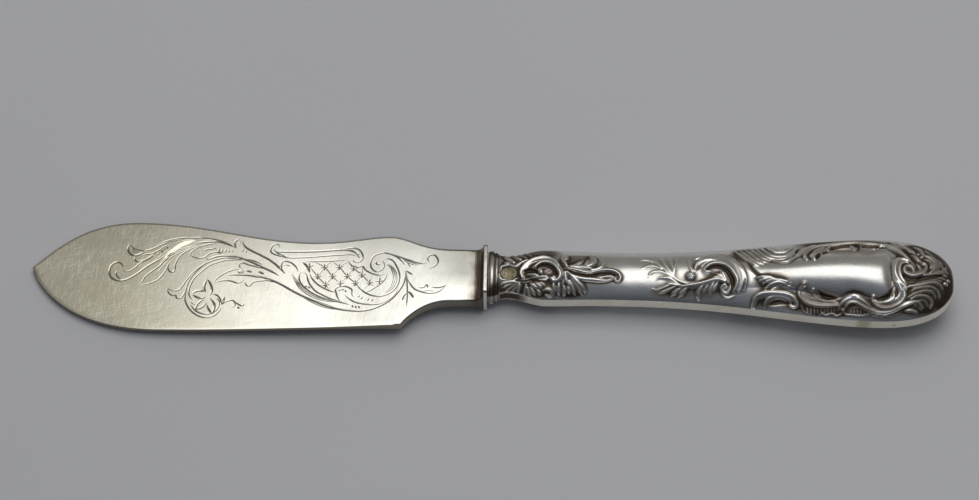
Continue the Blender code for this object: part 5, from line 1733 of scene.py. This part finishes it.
def blade_silver():
    """Satin silver: warm mottled tarnish, fine scratches, darkened cuts, brown staining by the plate, painted
    shade and highlight.
    """
    finish = Finish("worn blade silver")
    x, y, _ = finish.place()
    mottle = finish.spread(finish.noise(70, 5), 0.36, 0.68)
    colour = finish.mix(mottle, BLADE_PALE, BLADE_MOTTLE)
    # Darker and warmer towards the tip: tarnish, and painted shade where the lamp's reflection falls off
    colour = finish.mix(finish.times(finish.spread(x, *TIP_ALONG), 0.85), colour, BLADE_TIP_TARNISH_AND_SHADE)
    # Painted shade along the far rim near the tip, where its rounding turns away from the lamp
    far_rim_shade = finish.times(finish.spread(y, *FAR_RIM_ACROSS), finish.spread(x, *FAR_RIM_ALONG, 0.0, 0.45))
    colour = finish.mix(far_rim_shade, colour, BLADE_FAR_RIM_SHADE)
    # Painted shade on the upper face by the neck
    neck_shade = finish.times(finish.spread(x, *NECK_ALONG, 0.0, 0.95), finish.spread(y, *NECK_ACROSS))
    colour = finish.mix(neck_shade, colour, BLADE_NECK_SHADE)
    streaks = finish.crossed(*STREAKS)
    scratches = finish.crossed(*SCRATCHES)
    worn = finish.plus(finish.times(streaks, 0.22), finish.times(scratches, 0.45))
    worn = finish.times(worn, finish.spread(finish.noise(160, 2), 0.35, 0.65, 0.3, 1.2))
    worn = finish.times(worn, finish.spread(x, *WEAR_ALONG, 0.12, 1.0))
    colour = finish.mix(worn, colour, BLADE_SCRATCH)
    # Painted highlight along the near rim, towards the tip
    rim = finish.times(finish.value_of("rim"), finish.spread(x, *RIM_HIGHLIGHT_ALONG, 0.0, 0.9))
    colour = finish.mix(rim, colour, BLADE_RIM_HIGHLIGHT)
    # A ragged brown stain by the plate, partly painted shade of the root's fillet, reaching further on the
    # near side
    ragged = finish.plus(x, finish.spread(finish.noise(420, 4), 0.3, 0.7, *STAIN_SHADE_RAGGED))
    low_more = finish.plus(ragged, finish.spread(y, *STAIN_SHADE_ACROSS, 0.0, STAIN_SHADE_LOWER))
    root = (ORIGIN[0] + ROOT_END) * MM
    stain_and_shade = finish.spread(low_more, *(root - reach for reach in STAIN_SHADE_FROM_ROOT))
    colour = finish.mix(finish.times(stain_and_shade, 0.9), colour, BLADE_STAIN_AND_SHADE)
    colour = finish.mix(finish.spread(finish.value_of("cut"), 0.4, 0.95, 0.0, 0.85), colour, BLADE_CUT)
    # Painted shade on the blade's side, darker by the neck, for the shadowed floor it reflects
    side_shade = finish.mix(finish.spread(x, *NECK_SIDE_ALONG), BLADE_SIDE_SHADE, NECK_SIDE_SHADE)
    colour = finish.mix(finish.times(finish.value_of("side"), 0.85), colour, side_shade)
    rough = finish.spread(finish.noise(150, 4), 0.3, 0.7, 0.135, 0.185)
    rough = finish.plus(rough, finish.times(streaks, 0.03))
    finish.set(Base_Color=colour, Roughness=rough, Metallic=1.0)
    finish.bump(finish.noise(60, 2), 0.4, 0.0001)
    return finish.material


def plate_silver():
    """Bright rubbed silver with a few dull spots, with painted shade darkening it towards its far end."""
    finish = Finish("bolster plate silver")
    _, y, _ = finish.place()
    cloud = finish.spread(finish.noise(600, 4), 0.42, 0.70)
    colour = finish.mix(cloud, PLATE_PALE, PLATE_DULL)
    # Painted shade towards the plate's far end
    colour = finish.mix(finish.spread(y, *PLATE_SHADE_ACROSS, 0.0, 0.95), colour, PLATE_FAR_SHADE)
    finish.set(Base_Color=colour, Roughness=finish.spread(cloud, 0.0, 1.0, 0.24, 0.36), Metallic=1.0)
    finish.bump(finish.noise(500, 3), 0.3, 0.00005)
    return finish.material


def handle_silver():
    """Polished silver, rubbed bright on the raised lines, dark in the ground with tarnish and painted shade,
    cream on its plain band, partly painted reflection.
    """
    finish = Finish("stamped handle silver")
    x, y, z = finish.place()
    dull = finish.value_of("dull")
    cloud = finish.noise(260, 4)
    depth = finish.plus(finish.value_of("patina_and_shade"), finish.spread(cloud, 0.3, 0.7, -0.12, 0.12))
    colour = finish.mix(finish.spread(cloud, 0.35, 0.65), HANDLE_PALE, HANDLE_CLOUD)
    colour = finish.mix(finish.spread(depth, 0.05, 0.40), colour, HANDLE_WARM)
    colour = finish.mix(finish.spread(depth, 0.12, 0.98), colour, HANDLE_DARK)
    colour = finish.mix(finish.times(finish.value_of("rubbed"), 0.6), colour, HANDLE_RUBBED)
    oval = finish.mix(finish.spread(x, *OVALS_ALONG), MOUTH_OVAL, SCROLL_OVAL)
    grain = finish.spread(finish.noise(2200, 3), 0.35, 0.65, 0.55, 1.35)
    colour = finish.mix(dull, colour, finish.mix(1.0, oval, grain, "MULTIPLY"))
    over_seam = finish.gap(z, ORIGIN[2] * MM)
    on_band, past_band = (BAND_HEIGHT - BAND_BORDER) * MM, (BAND_HEIGHT + BAND_BORDER) * MM
    band = finish.spread(over_seam, on_band, past_band, 1.0, 0.0)
    mouth = ORIGIN[0] * MM
    band = finish.times(band, finish.spread(x, *(mouth + start for start in BAND_FROM)))
    # The band's cream, made paler than the silver as painted reflection of the lit floor
    cream = finish.mix(finish.spread(finish.noise(200, 3), 0.35, 0.65), BAND_CREAM_SHEEN, BAND_CLOUD_SHEEN)
    pits = finish.spread(finish.noise(800, 2), 0.70, 0.78)
    cream = finish.mix(finish.times(pits, 0.7), cream, BAND_PIT)
    spot = finish.spread(finish.gap(x, mouth + SPOT_AT), *SPOT_REACH, 0.6, 0.0)
    cream = finish.mix(finish.times(spot, finish.spread(y, *SPOT_SIDE)), cream, BAND_SPOT)
    colour = finish.mix(band, colour, cream)
    marks = finish.crossed(*HANDLE_MARKS)
    rough = finish.plus(finish.spread(depth, 0.1, 0.8, 0.26, 0.5), finish.times(marks, 0.05))
    rough = finish.plus(rough, finish.times(finish.larger(dull, band), 0.18))
    finish.set(Base_Color=colour, Roughness=rough, Metallic=1.0)
    finish.bump(finish.plus(finish.times(marks, 0.04), finish.noise(500, 2)), 0.3, 0.00005)
    return finish.material


def plain_finish(name, colours, roughness, metallic, scale):
    """A hidden piece's finish: one colour that varies into another."""
    finish = Finish(name)
    share = finish.spread(finish.noise(scale, 4), 0.3, 0.7)
    finish.set(Base_Color=finish.mix(share, *colours), Roughness=roughness, Metallic=metallic)
    return finish.material


def floor_finish():
    """A dull pale surface with faint clouds."""
    finish = Finish("pale floor")
    cloud = finish.spread(finish.noise(6, 2), 0.3, 0.7)
    finish.set(Base_Color=finish.mix(cloud, *FLOOR), Roughness=0.9)
    return finish.material


# The pieces

blade = make_blade()
plate = make_plate()
tang = tapered_bar("tapered_tang", 0.0)
front_shell, back_shell = make_shells()
filling = make_resin()
stamped = handle_silver()
for piece, node, slot, finish in (
    (blade, "blade", "blade_silver", blade_silver()),
    (plate, "bolster_plate", "blade_silver", plate_silver()),
    (front_shell, "handle_front_shell", "handle_silver", stamped),
    (back_shell, "handle_back_shell", "handle_silver", stamped),
    (tang, "tang", "tang_iron", plain_finish("forged iron", IRON, 0.6, 1.0, 400)),
    (filling, "resin_filling", "pitch_resin", plain_finish("dark resin", RESIN, 0.5, 0.0, 300)),
):
    piece.data.materials.append(finish)
    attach(piece, "root")
    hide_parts(node)

# Floor: the knife lies on the swelling at its neck and on the cushion of its back, so the floor falls
# towards the butt
NECK_FOOT = np.array((14.85, 0.0, -4.9))
FLOOR_TILT = math.radians(1.99)
FLOOR_SIZE = 6

deselect()
bpy.ops.mesh.primitive_plane_add(size=FLOOR_SIZE, location=place(NECK_FOOT), rotation=(0, FLOOR_TILT, 0))
floor = bpy.context.object
floor.name = "floor"
bpy.ops.object.transform_apply(location=True, rotation=True, scale=True)
floor.data.materials.append(floor_finish())

# Two lamps over each other that shine straight down, so that the bright pane has a soft border: their place,
# width, depth and power
LAMPS = (
    ("overhead pane", (0.125, 0.185, 0.80), 0.55, 0.69, 1.31),
    ("pane border", (0.105, 0.18, 0.82), 0.83, 1.0, 0.45),
)
for name, location, width, depth, power in LAMPS:
    bpy.ops.object.light_add(type="AREA", location=location)
    lamp = bpy.context.object
    lamp.name = name
    lamp.data.shape = "RECTANGLE"
    lamp.data.size = width
    lamp.data.size_y = depth
    lamp.data.energy = power

# A studio that is grey behind the knife, and darker and bluer in front of it, towards the floor
BEHIND_FROM = -0.25
BEHIND_TO = 0.35
BEHIND_LEVEL = 0.20
BEHIND_TINT = (1.0, 0.985, 0.95, 1)
FRONT_LOW = 0.2
FRONT_HIGH = 0.95
FRONT_LOW_LEVEL = 0.03
FRONT_HIGH_LEVEL = 0.20
FRONT_TINT = (0.80, 0.88, 1.04, 1)

world = bpy.data.worlds.new("studio")
bpy.context.scene.world = world
world.use_nodes = True
tree = world.node_tree
coords = add_node(tree, "ShaderNodeTexCoord").outputs["Generated"]
_, away, height = add_node(tree, "ShaderNodeSeparateXYZ", Vector=coords).outputs
behind = add_node(tree, "ShaderNodeMapRange", i0=away, i1=BEHIND_FROM, i2=BEHIND_TO).outputs[0]
in_front = add_node(
    tree, "ShaderNodeMapRange",
    i0=height, i1=FRONT_LOW, i2=FRONT_HIGH, i3=FRONT_LOW_LEVEL, i4=FRONT_HIGH_LEVEL,
).outputs[0]
level = add_node(tree, "ShaderNodeMix", i0=behind, i2=in_front, i3=BEHIND_LEVEL)
tint = add_node(tree, "ShaderNodeMix", {"data_type": "RGBA"}, i0=behind, i6=FRONT_TINT, i7=BEHIND_TINT)
background = tree.nodes["Background"]
feed(tree, background.inputs["Color"], tint.outputs[2])
feed(tree, background.inputs["Strength"], level.outputs[0])

# Camera: its turn round the knife, its distance and aim in metres, how far the aim moves right and up in the
# picture, and its lens and sensor in millimetres
CAMERA_TURN = math.radians(1.115)
CAMERA_DISTANCE = 0.75
CAMERA_AIM = np.array((-0.00095, 0.0012, 0.0064))
AIM_RIGHT = 0.00033
AIM_UP = 0.00595
CAMERA_LENS = 126.9
SENSOR_WIDTH = 36.0
CLIP_START = 0.05

back = np.array((
    math.sin(CAMERA_TURN) * math.cos(CAMERA_ELEVATION),
    -math.cos(CAMERA_TURN) * math.cos(CAMERA_ELEVATION),
    math.sin(CAMERA_ELEVATION),
))
right = np.array((math.cos(CAMERA_TURN), math.sin(CAMERA_TURN), 0.0))
up = np.cross(back, right)
aim = CAMERA_AIM + AIM_RIGHT * right + AIM_UP * up
bpy.ops.object.camera_add(
    location=aim + CAMERA_DISTANCE * back,
    rotation=Vector(-back).to_track_quat("-Z", "Y").to_euler(),
)
camera = bpy.context.object
camera.data.lens = CAMERA_LENS
camera.data.sensor_width = SENSOR_WIDTH
camera.data.clip_start = CLIP_START
bpy.context.scene.camera = camera
bpy.context.scene.view_settings.view_transform = "Standard"
